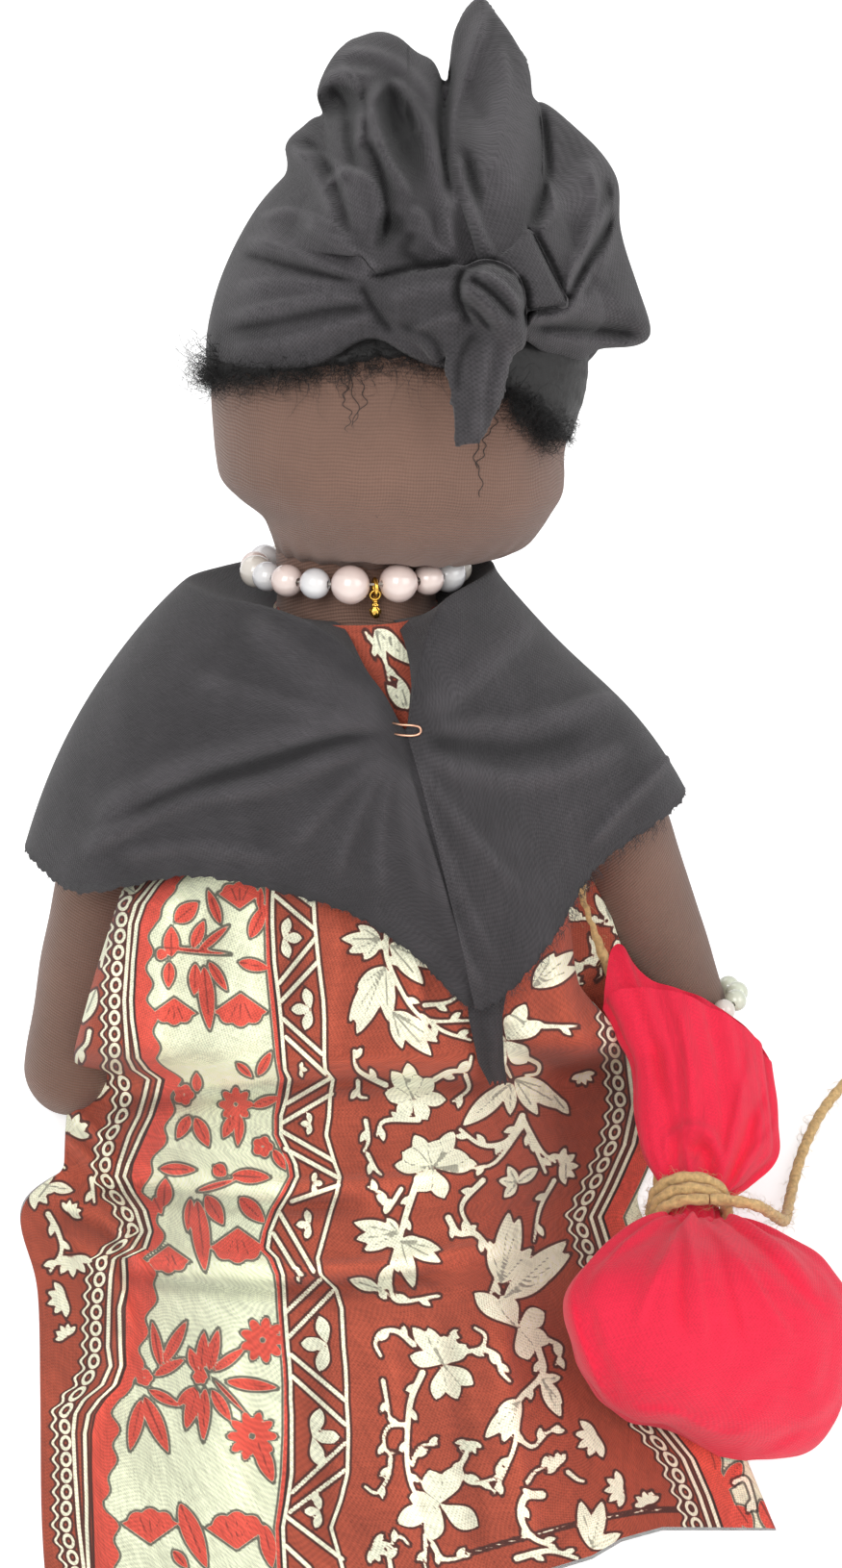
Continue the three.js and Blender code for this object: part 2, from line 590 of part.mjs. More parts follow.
const pearlTotal = [...pearlsLeft, ...pearlsRight].reduce((sum, size) => sum + size, 0);
const pearlSpace = (TURN * necklaceRadius - pearlTotal - pendantSlot) / (pearlsLeft.length + pearlsRight.length - 1);
const necklacePlace = (angle) => onRing(necklaceCentre, spine, front, necklaceRadius, angle);
function pearlAngles(sizes, side) {
  let arc = pendantSlot / 2;
  return sizes.map((size) => {
    const middle = arc + size / 2;
    arc += size + pearlSpace;
    return pendantAngle + (side * middle) / necklaceRadius;
  });
}
const pearls = [[pearlsLeft, -1, 'right'], [pearlsRight, 1, 'left']].flatMap(([sizes, side, word]) => (
  pearlAngles(sizes, side).map((angle, i) => ({
    name: `pearl_${word}_${String(i + 1).padStart(2, '0')}`,
    geometry: threaded(bead(sizes[i], pearlBore, 6, 8), necklacePlace(angle)),
  }))
));
// The string takes the middle way through the straight bores of the widest pearls
const stringRadius = necklaceRadius - Math.max(...pearlsLeft) ** 2 / (16 * necklaceRadius);
const necklaceString = ringWire(necklaceCentre, spine, stringRadius, stringDiameter, 42, 5);

// Pendant: a gold ring on the string, and a gold drop whose eye hangs in the ring
const down = new THREE.Vector3(0, 0, -1);
const hangingPlace = necklacePlace(pendantAngle);
const ringHole = pendantRingRadius - pendantWire / 2;
const ringCentre = hangingPlace.place.clone()
  .addScaledVector(down, ringHole - stringDiameter / 2 - gap);
const pendantRing = ringWire(ringCentre, hangingPlace.tangent, pendantRingRadius, pendantWire, 16, 6);
const eyeCentre = ringCentre.clone().addScaledVector(down, pendantRingRadius);
const eyeAxis = new THREE.Vector3().crossVectors(hangingPlace.tangent, down).normalize();
const dropShares = [[0, 0], [0.45, 0.06], [0.62, 0.2], [0.6, 0.34], [1, 0.55], [0.9, 0.78], [0.5, 0.94], [0, 1]];
const dropBody = new THREE.LatheGeometry(dropShares.map(([radius, length]) => new THREE.Vector2(
  (pendantDropDiameter / 2) * radius, -pendantDropLength * length,
)), 10);
const dropTop = eyeCentre.clone().addScaledVector(down, pendantEyeRadius);
dropBody.translate(dropTop.x, dropTop.y, dropTop.z);
const pendantDrop = solid(ringWire(eyeCentre, eyeAxis, pendantEyeRadius, pendantEyeWire, 12, 5))
  .add(solid(dropBody));

// Pouch: rows from the bottom of the bag, through the tied neck, to the open flare.
// A row is [x, y, z, half width, half height] in shares of the bag's width, length and height
const pouchPlace = new THREE.Vector3(pouchAside, -pouchAhead, pouchRise);
const tieLength = twineTurns * twinePitch + 2 * twineDiameter;
const tieMargin = 0.5;
const tieStart = pouchLength / 2 + tieMargin;
const neckLiftShare = 0.03;
const bagPleatShare = 0.02;
const gatherStartShare = 0.3;
const gatherPleatShare = 0.07;
const flarePleatShare = 0.1;
const fillingPleatShare = 0.01;
const bottomDropShare = 0.03;
const bagShares = [
  [0.06, -0.43, -0.1, 0.5, 0.5], [0.04, -0.32, -0.06, 0.78, 0.78], [0.02, -0.14, -0.02, 0.98, 0.96],
  [0, 0.06, 0, 1, 1], [0, 0.24, 0.02, 0.88, 0.88], [0, 0.37, 0.03, 0.62, 0.66], [0, 0.46, 0.03, 0.36, 0.44],
];
const flareShares = [
  [0.03, 0.1, 0.05, 1.5, 1.25], [0.12, 0.28, 0.16, 2.55, 1.35], [0.16, 0.52, 0.32, 3.1, 1.3],
  [0.11, 0.78, 0.48, 3.1, 1.1], [0, 1, 0.62, 2.7, 0.85],
];
const neckPlace = pouchPlace.clone().add(new THREE.Vector3(0, tieStart, pouchHeight * neckLiftShare));
const neckEnd = neckPlace.clone().add(new THREE.Vector3(0, tieLength, 0));
const pouchRows = [
  ...bagShares.map(([x, y, z, half, high]) => ({
    centre: pouchPlace.clone().add(new THREE.Vector3(pouchWidth * x, pouchLength * y, pouchHeight * z)),
    half: (pouchWidth / 2) * half,
    high: (pouchHeight / 2) * high,
    pleat: y > gatherStartShare ? gatherPleatShare : bagPleatShare,
  })),
  { centre: neckPlace, half: pouchNeckRadius, high: pouchNeckRadius, pleat: 0 },
  { centre: neckEnd, half: pouchNeckRadius, high: pouchNeckRadius, pleat: 0 },
  ...flareShares.map(([x, y, z, half, high]) => ({
    centre: neckEnd.clone().add(new THREE.Vector3(flareLength * x, flareLength * y, flareLength * z)),
    half: pouchNeckRadius * half,
    high: pouchNeckRadius * high,
    pleat: flarePleatShare,
  })),
];
const pouchPleats = 6;
const pouchSides = 26;
const neckOpeningShare = 0.4;
function pouchRing({ centre, half, high, pleat }, inset) {
  return Array.from({ length: pouchSides }, (_, k) => {
    const angle = (TURN * k) / pouchSides;
    const wave = 1 + pleat * Math.cos(pouchPleats * angle);
    const closed = pleat === 0 && inset > 0 ? neckOpeningShare : 1;
    const across2 = (half * wave - inset) * closed;
    const up = (high * wave - inset) * closed;
    return centre.clone().add(new THREE.Vector3(across2 * Math.cos(angle), 0, up * Math.sin(angle)));
  });
}
const pouchCloth = (() => {
  const outer = pouchRows.map((row) => pouchRing(row, 0));
  const inner = pouchRows.map((row) => pouchRing(row, pouchWall)).reverse();
  const bottom = pouchRows[0].centre;
  const bottomDrop = new THREE.Vector3(0, -pouchLength * bottomDropShare, 0);
  const insideBottom = bottom.clone().add(new THREE.Vector3(0, pouchWall, 0));
  return solid(closedLoft([...outer, ...inner], bottom.clone().add(bottomDrop), insideBottom));
})();
const fillingRows = pouchRows.slice(1, bagShares.length - 2);
const pouchFilling = (() => {
  const rings = fillingRows.map((row) => pouchRing({ ...row, pleat: fillingPleatShare }, pouchWall + 2 * gap));
  return solid(closedLoft(rings, fillingRows[0].centre, fillingRows[fillingRows.length - 1].centre));
})();

// Twine: a winding of one tube round the pouch's neck, and two free ends
const windingRadius = pouchNeckRadius + gap + twineDiameter / 2;
const windingCentre = neckPlace.clone().lerp(neckEnd, 0.5);
const windingSpan = twineTurns + 0.25;
function windingPoint(turns) {
  const angle = Math.PI / 2 + TURN * turns;
  const y = twinePitch * (turns - windingSpan / 2);
  return windingCentre.clone().add(new THREE.Vector3(
    windingRadius * Math.cos(angle), y, windingRadius * Math.sin(angle),
  ));
}
const windingSteps = 24;
const windingPoints = Array.from(
  { length: Math.round(windingSpan * windingSteps) + 1 },
  (_, i) => windingPoint(i / windingSteps),
);
const windingStart = windingPoints[0].clone().addScaledVector(across, twineDiameter);
const windingEnd = windingPoints[windingPoints.length - 1].clone().addScaledVector(down, twineDiameter);
// A round tube whose rings stand square to its path, turned on from ring to ring without a twist
function tube(points, diameter, sides) {
  const tangents = points.map((_, i) => points[Math.min(i + 1, points.length - 1)].clone()
    .sub(points[Math.max(i - 1, 0)]).normalize());
  let side = new THREE.Vector3().crossVectors(tangents[0], new THREE.Vector3(0, 1, 0)).normalize();
  const rings = points.map((point, i) => {
    side = side.clone().addScaledVector(tangents[i], -side.dot(tangents[i])).normalize();
    const other = new THREE.Vector3().crossVectors(tangents[i], side);
    return Array.from({ length: sides }, (_, k) => point.clone()
      .addScaledVector(side, (diameter / 2) * Math.cos((TURN * k) / sides))
      .addScaledVector(other, (diameter / 2) * Math.sin((TURN * k) / sides)));
  });
  return closedLoft(rings, points[0], points[points.length - 1]);
}
const winding = tube([windingStart, ...windingPoints, windingEnd], twineDiameter, 6);
let leastGap = Infinity;
for (let i = 0; i < windingPoints.length; i++) {
  for (let j = i + windingSteps / 2; j < windingPoints.length; j++) {
    leastGap = Math.min(leastGap, windingPoints[i].distanceTo(windingPoints[j]) - twineDiameter);
  }
}
console.log(`Least gap of the winding to itself: ${leastGap.toFixed(2)} mm`);

// The routes of the twine's two free ends, chosen by hand, from the winding outwards
const twineRightRoute = [
  [84, -40.1, 32.8], [90, -39.4, 30.4], [95.5, -36, 23], [99.5, -29, 13.5], [102.5, -20, 6], [105.5, -10, 2.2],
  [109, 0, 1.8], [113, 9, 1.8], [118, 18, 1.8], [124.5, 26.7, 1.8], [131, 33.5, 1.8], [137, 38.5, 1.8],
];
const twineLeftRoute = [
  [67.7, -32, 20], [69.2, -28.5, 17], [71, -20, 16.2], [71, -9, 19], [69.5, 2, 27],
  [66, 11, 37.5], [61.5, 17.5, 47], [57, 21.5, 57], [53.6, 24, 66], [52.6, 25, 70.5],
];
const cordSteps = 26;
function cord(start, away, route) {
  const points = [
    start.clone().addScaledVector(away, gap),
    start.clone().addScaledVector(away, gap + twineDiameter / 2),
    ...route.map((point) => new THREE.Vector3(...point)),
  ];
  const curve = new THREE.CatmullRomCurve3(points, false, 'centripetal');
  return tube(curve.getPoints(cordSteps), twineDiameter, 8);
}
const twineEndRight = cord(windingStart, across, twineRightRoute);
const twineEndLeft = cord(windingEnd, down, twineLeftRoute);

// Materials and the assembly
const finish = (color, roughness, metalness = 0) => new THREE.MeshStandardMaterial({ color, roughness, metalness });
const knit = finish(0x5e4238, 0.9);
const blackCotton = finish(0x26272a, 0.9);
const printedCotton = finish(0xa04b37, 0.85);
const redCotton = finish(0xf52a50, 0.85);
const hairFibre = finish(0x0d0d0e, 0.8);
const pearlSkin = finish(0xe6d7d2, 0.3);
const jute = finish(0xc8a56e, 0.95);
const gold = finish(0xc9a03c, 0.3, 1);
const copper = finish(0xb5714e, 0.35, 1);
const thread = finish(0xdedede, 0.7);
const grain = finish(0xcbb68a, 0.8);

const doll = new THREE.Group();
function put(name, shape, material) {
  const geometry = shape.isBufferGeometry ? shape : surface(shape);
  const mesh = new THREE.Mesh(geometry, material);
  mesh.name = name;
  doll.add(mesh);
}
put('torso', torso, knit);
put('head', head, knit);
put('hair_cap', hairCap, hairFibre);
put('hair_tuft', hairTuft, hairFibre);
put('head_wrap', headWrap, blackCotton);
put('arm_right', armRight(0), knit);
put('arm_left', armLeft(0), knit);
put('leg_right', leg(-1), knit);
put('leg_left', leg(1), knit);
put('dress', dress, printedCotton);
put('shawl', shawl, blackCotton);
put('safety_pin', safetyPin, copper);
for (const pearl of pearls) put(pearl.name, solid(pearl.geometry), pearlSkin);
put('necklace_string', solid(necklaceString), thread);
put('pendant_ring', solid(pendantRing), gold);
put('pendant_drop', pendantDrop, gold);
braceletBeads.forEach((geometry, i) => {
  put(`bracelet_bead_${String(i + 1).padStart(2, '0')}`, solid(geometry), pearlSkin);
});
put('bracelet_elastic', solid(braceletElastic), thread);
put('pouch_cloth', pouchCloth, redCotton);
put('pouch_filling', pouchFilling, grain);
put('pouch_twine', solid(winding), jute);
put('twine_end_right', solid(twineEndRight), jute);
put('twine_end_left', solid(twineEndLeft), jute);

export default doll;
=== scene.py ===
"""A seated cloth doll with no face: a stuffed knit body in a printed dress, with a black shawl and head wrap,
pearls and a red pouch."""
import math
import bmesh
import bpy
import numpy as np
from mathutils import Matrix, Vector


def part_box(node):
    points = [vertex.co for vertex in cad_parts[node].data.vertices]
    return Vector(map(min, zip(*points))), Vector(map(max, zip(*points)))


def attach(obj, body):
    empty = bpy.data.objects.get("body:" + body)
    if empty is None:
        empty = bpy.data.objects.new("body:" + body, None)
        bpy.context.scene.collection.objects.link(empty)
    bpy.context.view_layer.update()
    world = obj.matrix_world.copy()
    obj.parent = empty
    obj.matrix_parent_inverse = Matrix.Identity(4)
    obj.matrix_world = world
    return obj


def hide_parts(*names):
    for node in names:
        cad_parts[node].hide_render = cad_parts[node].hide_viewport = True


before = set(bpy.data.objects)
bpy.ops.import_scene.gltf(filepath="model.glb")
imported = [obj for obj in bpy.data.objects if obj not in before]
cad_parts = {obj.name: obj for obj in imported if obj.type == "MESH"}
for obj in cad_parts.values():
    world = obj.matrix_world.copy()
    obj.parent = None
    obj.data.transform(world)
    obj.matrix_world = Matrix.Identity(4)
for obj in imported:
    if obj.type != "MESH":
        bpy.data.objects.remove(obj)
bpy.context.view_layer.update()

# The camera stands where the photograph was taken from: in front of the doll, above it and a little to its
# left. The photograph's own pixels (875 by 1630) are used below for folds and printed motifs, so their
# places are worked out here in both directions: from a point to its pixel, and from a pixel to a point.
mm = 0.001
camera_place = np.array([0.0148, -0.3326, 0.3602])
camera_elevation = math.radians(36)
picture_width, picture_height, focal_pixels = 875, 1630, 2000
film_width = 36
def new_object(name, data):
    """An object of the scene that shows a mesh, a lamp or the camera."""
    made = bpy.data.objects.new(name, data)
    bpy.context.scene.collection.objects.link(made)
    return made


camera_data = bpy.data.cameras.new("camera")
camera_data.sensor_width = film_width
camera_data.lens = focal_pixels / picture_height * film_width
camera = new_object("camera", camera_data)
camera.location = camera_place
camera.rotation_euler = (math.pi / 2 - camera_elevation, 0, 0)
bpy.context.scene.camera = camera
view_ahead = np.array([0, math.cos(camera_elevation), -math.sin(camera_elevation)])
view_up = np.array([0, math.sin(camera_elevation), math.cos(camera_elevation)])


def pixel_of(points):
    """The photograph's pixel of each point: centre plus focal length times offset over distance ahead."""
    from_camera = points - camera_place
    ahead = from_camera @ view_ahead
    across_picture = picture_width / 2 + focal_pixels * from_camera[..., 0] / ahead
    down_picture = picture_height / 2 - focal_pixels * (from_camera @ view_up) / ahead
    return across_picture, down_picture


lean = math.radians(20)
spine = np.array([0, math.sin(lean), math.cos(lean)])
front = np.array([0, -math.cos(lean), math.sin(lean)])
across = np.array([1.0, 0, 0])


def on_body(x, along, forward):
    """A place on the leaning body: across, along the spine from the floor, and forward of the spine."""
    x, along, forward = np.broadcast_arrays(x, along, forward)
    return x[..., None] * across + along[..., None] * spine + forward[..., None] * front


def sight_lines(pixels):
    """Each pixel's line of sight: how far it goes across and up for each metre ahead of the camera."""
    pixels = np.asarray(pixels, float)
    return ((pixels[..., 0:1] - picture_width / 2) / focal_pixels * across + view_ahead
            + (picture_height / 2 - pixels[..., 1:2]) / focal_pixels * view_up)


def sight(pixels, forward):
    """The point of each pixel's line of sight that lies at a distance forward of the spine."""
    line = sight_lines(pixels)
    reach = (np.asarray(forward, float) - camera_place @ front) / (line @ front)
    return camera_place + line * reach[..., None]


def through(table, place, closed=False):
    """Catmull-Rom curve through the rows of a table, read at places counted in rows."""
    table = np.asarray(table, float)
    if table.ndim == 1:
        table = table[:, None]
    count = len(table)
    place = np.asarray(place, float)
    low = np.floor(place).astype(int) if closed else np.clip(np.floor(place).astype(int), 0, count - 2)
    share = (place - low)[..., None]
    within = np.mod if closed else (lambda rows, limit: np.clip(rows, 0, limit - 1))
    before, here, there, after = (table[within(low + k, count)] for k in (-1, 0, 1, 2))
    if not closed:
        before = np.where((low == 0)[..., None], 2 * here - there, before)
        after = np.where((low == count - 2)[..., None], 2 * there - here, after)
    return (here + 0.5 * share * (there - before + share * (2 * before - 5 * here + 4 * there - after
            + share * (3 * (here - there) + after - before))))


def unit(vectors):
    """Vectors of length one."""
    return vectors / np.maximum(np.linalg.norm(vectors, axis=-1, keepdims=True), 1e-12)


def surface(name, grid, round_across=False, round_down=False, capped=False, outward=None):
    """A mesh over a grid of points: one face between each four neighbours, and a fan over each closed end.
    outward is a point inside the shape: faces are turned so that they look away from it."""
    grid = np.asarray(grid, float)
    rows, columns = grid.shape[:2]
    row_end = rows if round_down else rows - 1
    column_end = columns if round_across else columns - 1
    i, j = np.meshgrid(np.arange(row_end), np.arange(column_end), indexing="ij")
    below, beside = (i + 1) % rows * columns, (j + 1) % columns
    quads = np.stack([i * columns + j, i * columns + beside, below + beside, below + j], -1).reshape(-1, 4)
    points = grid.reshape(-1, 3)
    fans = []
    if capped:
        points = np.vstack([points, grid[0].mean(0), grid[-1].mean(0)])
        ring = np.arange(columns)
        after = (ring + 1) % columns
        middle, last_row = np.full(columns, rows * columns), (rows - 1) * columns
        fans = np.vstack([np.stack([middle, after, ring], -1),
                          np.stack([middle + 1, last_row + ring, last_row + after], -1)]).tolist()
    mesh = bpy.data.meshes.new(name)
    mesh.from_pydata(points.tolist(), [], quads.tolist() + fans)
    made = new_object(name, mesh)
    if round_across and (round_down or capped):
        tidy = bmesh.new()
        tidy.from_mesh(mesh)
        bmesh.ops.recalc_face_normals(tidy, faces=tidy.faces)
        tidy.to_mesh(mesh)
        tidy.free()
    elif outward is not None:
        middle = quads[len(quads) // 2]
        corners = points[middle]
        normal = np.cross(corners[1] - corners[0], corners[3] - corners[0])
        if normal @ (corners[0] - np.asarray(outward)) < 0:
            mesh.flip_normals()
    mesh.shade_smooth()
    return made


def lengths_along(grid, axis):
    """Cloth length from the first row or column to each point, in metres."""
    steps = np.linalg.norm(np.diff(grid, axis=axis), axis=-1)
    start = np.zeros_like(np.take(grid[..., 0], [0], axis=axis))
    return np.concatenate([start, np.cumsum(steps, axis=axis)], axis=axis)


def store(made, label, *fields):
    """Keeps one number or three at each vertex, as an attribute that a material reads. The middles of a
    surface's fans take the last ones."""
    values = np.stack([np.ravel(field) for field in fields], -1).astype(np.float32)
    spare = len(made.data.vertices) - len(values)
    values = np.vstack([values, np.repeat(values[-1:], spare, 0)])
    kind, key = ("FLOAT", "value") if len(fields) == 1 else ("FLOAT_VECTOR", "vector")
    attribute_made = made.data.attributes.new(label, kind, "POINT")
    attribute_made.data.foreach_set(key, values.ravel())


def cloth_surface(name, grid, **closing):
    """A surface that keeps its cloth's own coordinates, in metres across and down, for the weave or knit."""
    made = surface(name, grid, **closing)
    store(made, "cloth", lengths_along(grid, 1), lengths_along(grid, 0), np.zeros(grid.shape[:2]))
    return made


def wind(points, radius, around, twist=0.0, lobes=0, lobe_depth=0.0):
    """A round bar along points: rings square to the path, carried on without a twist of their own.
    Its radius swells in a number of lobes that turn by twist radians for each metre of path."""
    points = np.asarray(points, float)
    tangents = unit(np.gradient(points, axis=0))
    side = unit(np.cross(tangents[0], [0.31, 0.74, 0.6]))
    sides = []
    for tangent in tangents:
        side = unit(side - (side @ tangent) * tangent)
        sides.append(side)
    sides = np.array(sides)
    others = np.cross(tangents, sides)
    turn = np.linspace(0, 2 * math.pi, around, endpoint=False)
    along = lengths_along(points, 0)[:, None]
    radius = np.broadcast_to(np.asarray(radius, float), (len(points),))[:, None]
    swell = radius * (1 - lobe_depth + lobe_depth * np.cos(lobes * (turn[None] - twist * along)))
    return (points[:, None] + (swell * np.cos(turn))[..., None] * sides[:, None]
            + (swell * np.sin(turn))[..., None] * others[:, None])


def put(tree, kind, wires=(), **settings):
    """One node. Settings are its properties; wires are pairs of an input's name or number and a value or
    socket."""
    made = tree.nodes.new(kind)
    for key, value in settings.items():
        setattr(made, key, value)
    for place, value in dict(wires).items():
        if isinstance(value, bpy.types.NodeSocket):
            tree.links.new(value, made.inputs[place])
        else:
            made.inputs[place].default_value = value
    return made


def calc(tree, operation, first, second=0.0, third=0.0):
    """The result of one Math node."""
    return put(tree, "ShaderNodeMath", {0: first, 1: second, 2: third}, operation=operation).outputs[0]


def pattern_group(name, size_label, size):
    """A shader node group that draws a pattern of some size into a colour; returns it with its two ends."""
    group = bpy.data.node_groups.new(name, "ShaderNodeTree")
    for label, kind, value in (("Place", "Vector", None), (size_label, "Float", size),
                               ("Colour", "Color", (1, 1, 1, 1)), ("Amount", "Float", 0.2)):
        socket = group.interface.new_socket(label, in_out="INPUT", socket_type="NodeSocket" + kind)
        if value is not None:
            socket.default_value = value
    for label, kind in (("Colour", "Color"), ("Height", "Float")):
        group.interface.new_socket(label, in_out="OUTPUT", socket_type="NodeSocket" + kind)
    return group, group.nodes.new("NodeGroupInput"), group.nodes.new("NodeGroupOutput")


def mix(tree, share, first, second):
    """The colour between two colours."""
    return put(tree, "ShaderNodeMix", {0: share, 6: first, 7: second}, data_type="RGBA").outputs[2]


def scaled(tree, base, factor):
    """A colour made lighter or darker by a factor."""
    return put(tree, "ShaderNodeVectorMath", {0: base, "Scale": factor}, operation="SCALE").outputs[0]


def colour(red, green, blue):
    """A colour written as it is seen, from 0 to 255, turned into the light that a shader needs."""
    seen = np.array([red, green, blue]) / 255
    light = np.where(seen <= 0.04045, seen / 12.92, ((seen + 0.055) / 1.055) ** 2.4)
    return (*light.tolist(), 1.0)


def new_material(name, roughness, sheen=0.0, metallic=0.0, coat=0.0):
    """A material with its Principled shader; returns the material, its tree and the shader."""
    material = bpy.data.materials.new(name)
    material.use_nodes = True
    shader = material.node_tree.nodes["Principled BSDF"]
    shader.inputs["Roughness"].default_value = roughness
    shader.inputs["Sheen Weight"].default_value = sheen
    shader.inputs["Sheen Roughness"].default_value = 0.5
    shader.inputs["Metallic"].default_value = metallic
    shader.inputs["Coat Weight"].default_value = coat
    return material, material.node_tree, shader


def bumped(tree, shader, height, distance, strength=1.0):
    """Feeds a height, in parts of a distance, to the shader's normal."""
    bump = put(tree, "ShaderNodeBump", {"Height": height, "Distance": distance, "Strength": strength})
    tree.links.new(bump.outputs[0], shader.inputs["Normal"])


# Mottling is used on every fibre and stuffing: soft patches, lighter and darker, from fractal noise.
mottle, mottle_in, mottle_out = pattern_group("mottling", "Patches per metre", 60.0)
patches = put(mottle, "ShaderNodeTexNoise", {"Vector": mottle_in.outputs[0], "Scale": mottle_in.outputs[1],
                                             "Detail": 5.0, "Roughness": 0.6}).outputs[0]
spread = calc(mottle, "MULTIPLY_ADD", patches, 2.0, -1.0)
lift = calc(mottle, "MULTIPLY_ADD", spread, mottle_in.outputs[3], 1.0)
mottle.links.new(scaled(mottle, mottle_in.outputs[2], lift), mottle_out.inputs[0])
mottle.links.new(patches, mottle_out.inputs[1])

# Plain weave: each thread goes over and under the next, so the height is the product of two waves.
# Slubs, thicker and thinner stretches of thread, come from noise drawn out along each direction.
weave, weave_in, weave_out = pattern_group("plain weave", "Thread", 0.4 * mm)
parted = put(weave, "ShaderNodeSeparateXYZ", {0: weave_in.outputs[0]}).outputs
turns = [calc(weave, "DIVIDE", calc(weave, "MULTIPLY", way, math.pi), weave_in.outputs[1])
          for way in parted[:2]]
over = calc(weave, "MULTIPLY", calc(weave, "SINE", turns[0]), calc(weave, "SINE", turns[1]))
slubs = []
for stretch in ((2500.0, 160.0, 0.0), (160.0, 2500.0, 0.0)):
    drawn = put(weave, "ShaderNodeVectorMath", {0: weave_in.outputs[0], 1: stretch}, operation="MULTIPLY")
    slubs.append(put(weave, "ShaderNodeTexNoise",
                     {"Vector": drawn.outputs[0], "Scale": 1.0, "Detail": 2.0}).outputs[0])
slub = calc(weave, "SUBTRACT", calc(weave, "ADD", *slubs), 1.0)
weave_height = calc(weave, "MULTIPLY_ADD", slub, 1.6, calc(weave, "MULTIPLY", over, 0.5))
# the colour follows the height: painted light on the raised threads and painted shade between them, with the
# slubs' uneven tone
weave_lift = calc(weave, "MULTIPLY_ADD", weave_height, weave_in.outputs[3], 1.0)
weave.links.new(scaled(weave, weave_in.outputs[2], weave_lift), weave_out.inputs[0])
weave.links.new(weave_height, weave_out.inputs[1])


def group_node(tree, group, wires):
    """One use of a shader node group."""
    return put(tree, "ShaderNodeGroup", wires, node_tree=group)


def kept(tree, label):
    """What the vertices keep under this name: three numbers as the Vector output, one as Fac."""
    return put(tree, "ShaderNodeAttribute", attribute_name=label).outputs


def cloth_place(tree):
    """The cloth's own coordinates."""
    return kept(tree, "cloth")["Vector"]


def object_place(tree):
    """The place on the object, in metres."""
    return put(tree, "ShaderNodeTexCoord").outputs["Object"]


def mottled(tree, shader, base, patch_count, amount):
    """Feeds a mottled colour to the shader and returns the mottling's height."""
    tone = group_node(tree, mottle, {0: object_place(tree), 1: patch_count, 2: base, 3: amount})
    tree.links.new(tone.outputs[0], shader.inputs["Base Color"])
    return tone.outputs[1]


def mottled_material(name, roughness, tint, patch_count, amount, relief=0.0, **settings):
    """A plain fibre or metal: one mottled colour, with bumps of the same patches where it has a relief."""
    material, tree, shader = new_material(name, roughness, **settings)
    height = mottled(tree, shader, colour(*tint), patch_count, amount)
    if relief:
        bumped(tree, shader, height, relief)
    return material


def woven(tree, shader, base, thread_width, lightening, patch_count, amount, relief, strength):
    """Feeds a woven and mottled colour, with the weave's painted light and shade, to the shader, and the
    weave's height to its normal.
    """
    cloth = group_node(tree, weave, {0: cloth_place(tree), 1: thread_width, 2: base, 3: lightening})
    mottled(tree, shader, cloth.outputs[0], patch_count, amount)
    bumped(tree, shader, cloth.outputs[1], relief, strength)


# The twine is two-ply jute, 2.8 mm thick: a winding round the pouch's neck and two free ends, both cut off
# bare. One end stands up behind the pouch's flap, and the other runs down and away over the floor. Loose
# fibres stand off it all along, and its cut ends are frayed.
twine_diameter = 2.8 * mm
twine_pitch = 3.3 * mm
twine_turns = 2.25
clearance = 0.35 * mm
pouch_centre = np.array([76.0, -69.0, 23.7]) * mm
pouch_length, pouch_height = 52 * mm, 43 * mm
neck_radius = 6.5 * mm
tie_start = pouch_centre + np.array([0, pouch_length / 2 + 0.5 * mm, pouch_height * 0.03])
tie_end = tie_start + np.array([0, 2 * twine_pitch + 2 * twine_diameter, 0])
winding_radius = neck_radius + clearance + twine_diameter / 2
winding_turn = np.linspace(0, twine_turns, 220)
winding_path = (tie_start + tie_end) / 2 + np.stack([
    winding_radius * np.cos(math.pi / 2 + 2 * math.pi * winding_turn),
    twine_pitch * (winding_turn - twine_turns / 2),
    winding_radius * np.sin(math.pi / 2 + 2 * math.pi * winding_turn)], -1)
down = np.array([0, 0, -1.0])
winding_leads = winding_path[0] + twine_diameter * across, winding_path[-1] + twine_diameter * down
twine_right_route = [
    [84, -40.1, 32.8], [90, -39.4, 30.4], [95.5, -36, 23], [99.5, -29, 13.5], [102.5, -20, 6],
    [105.5, -10, 2.2], [109, 0, 1.8], [113, 9, 1.8], [118, 18, 1.8], [124.5, 26.7, 1.8], [131, 33.5, 1.8],
    [137, 38.5, 1.8],
]
twine_left_route = [
    [67.7, -32, 20], [69.2, -28.5, 17], [71, -20, 16.2], [71, -9, 19], [69.5, 2, 27],
    [66, 11, 37.5], [61.5, 17.5, 47], [57, 21.5, 57], [53.6, 24, 66], [52.6, 25, 70.5],
]
ply_twist = 2 * math.pi / (9 * mm)

jute = mottled_material("jute fibre", 0.9, (206, 172, 118), 900.0, 0.75, 0.3 * mm, sheen=0.2)


def free_path(start, away, route):
    """The line of a free end: out of the winding, then smoothly through its route's points."""
    points = np.array([start + away * clearance, start + away * (clearance + twine_diameter / 2),
                       *(np.array(route) * mm)])
    return through(points, np.linspace(0, len(points) - 1, 150))


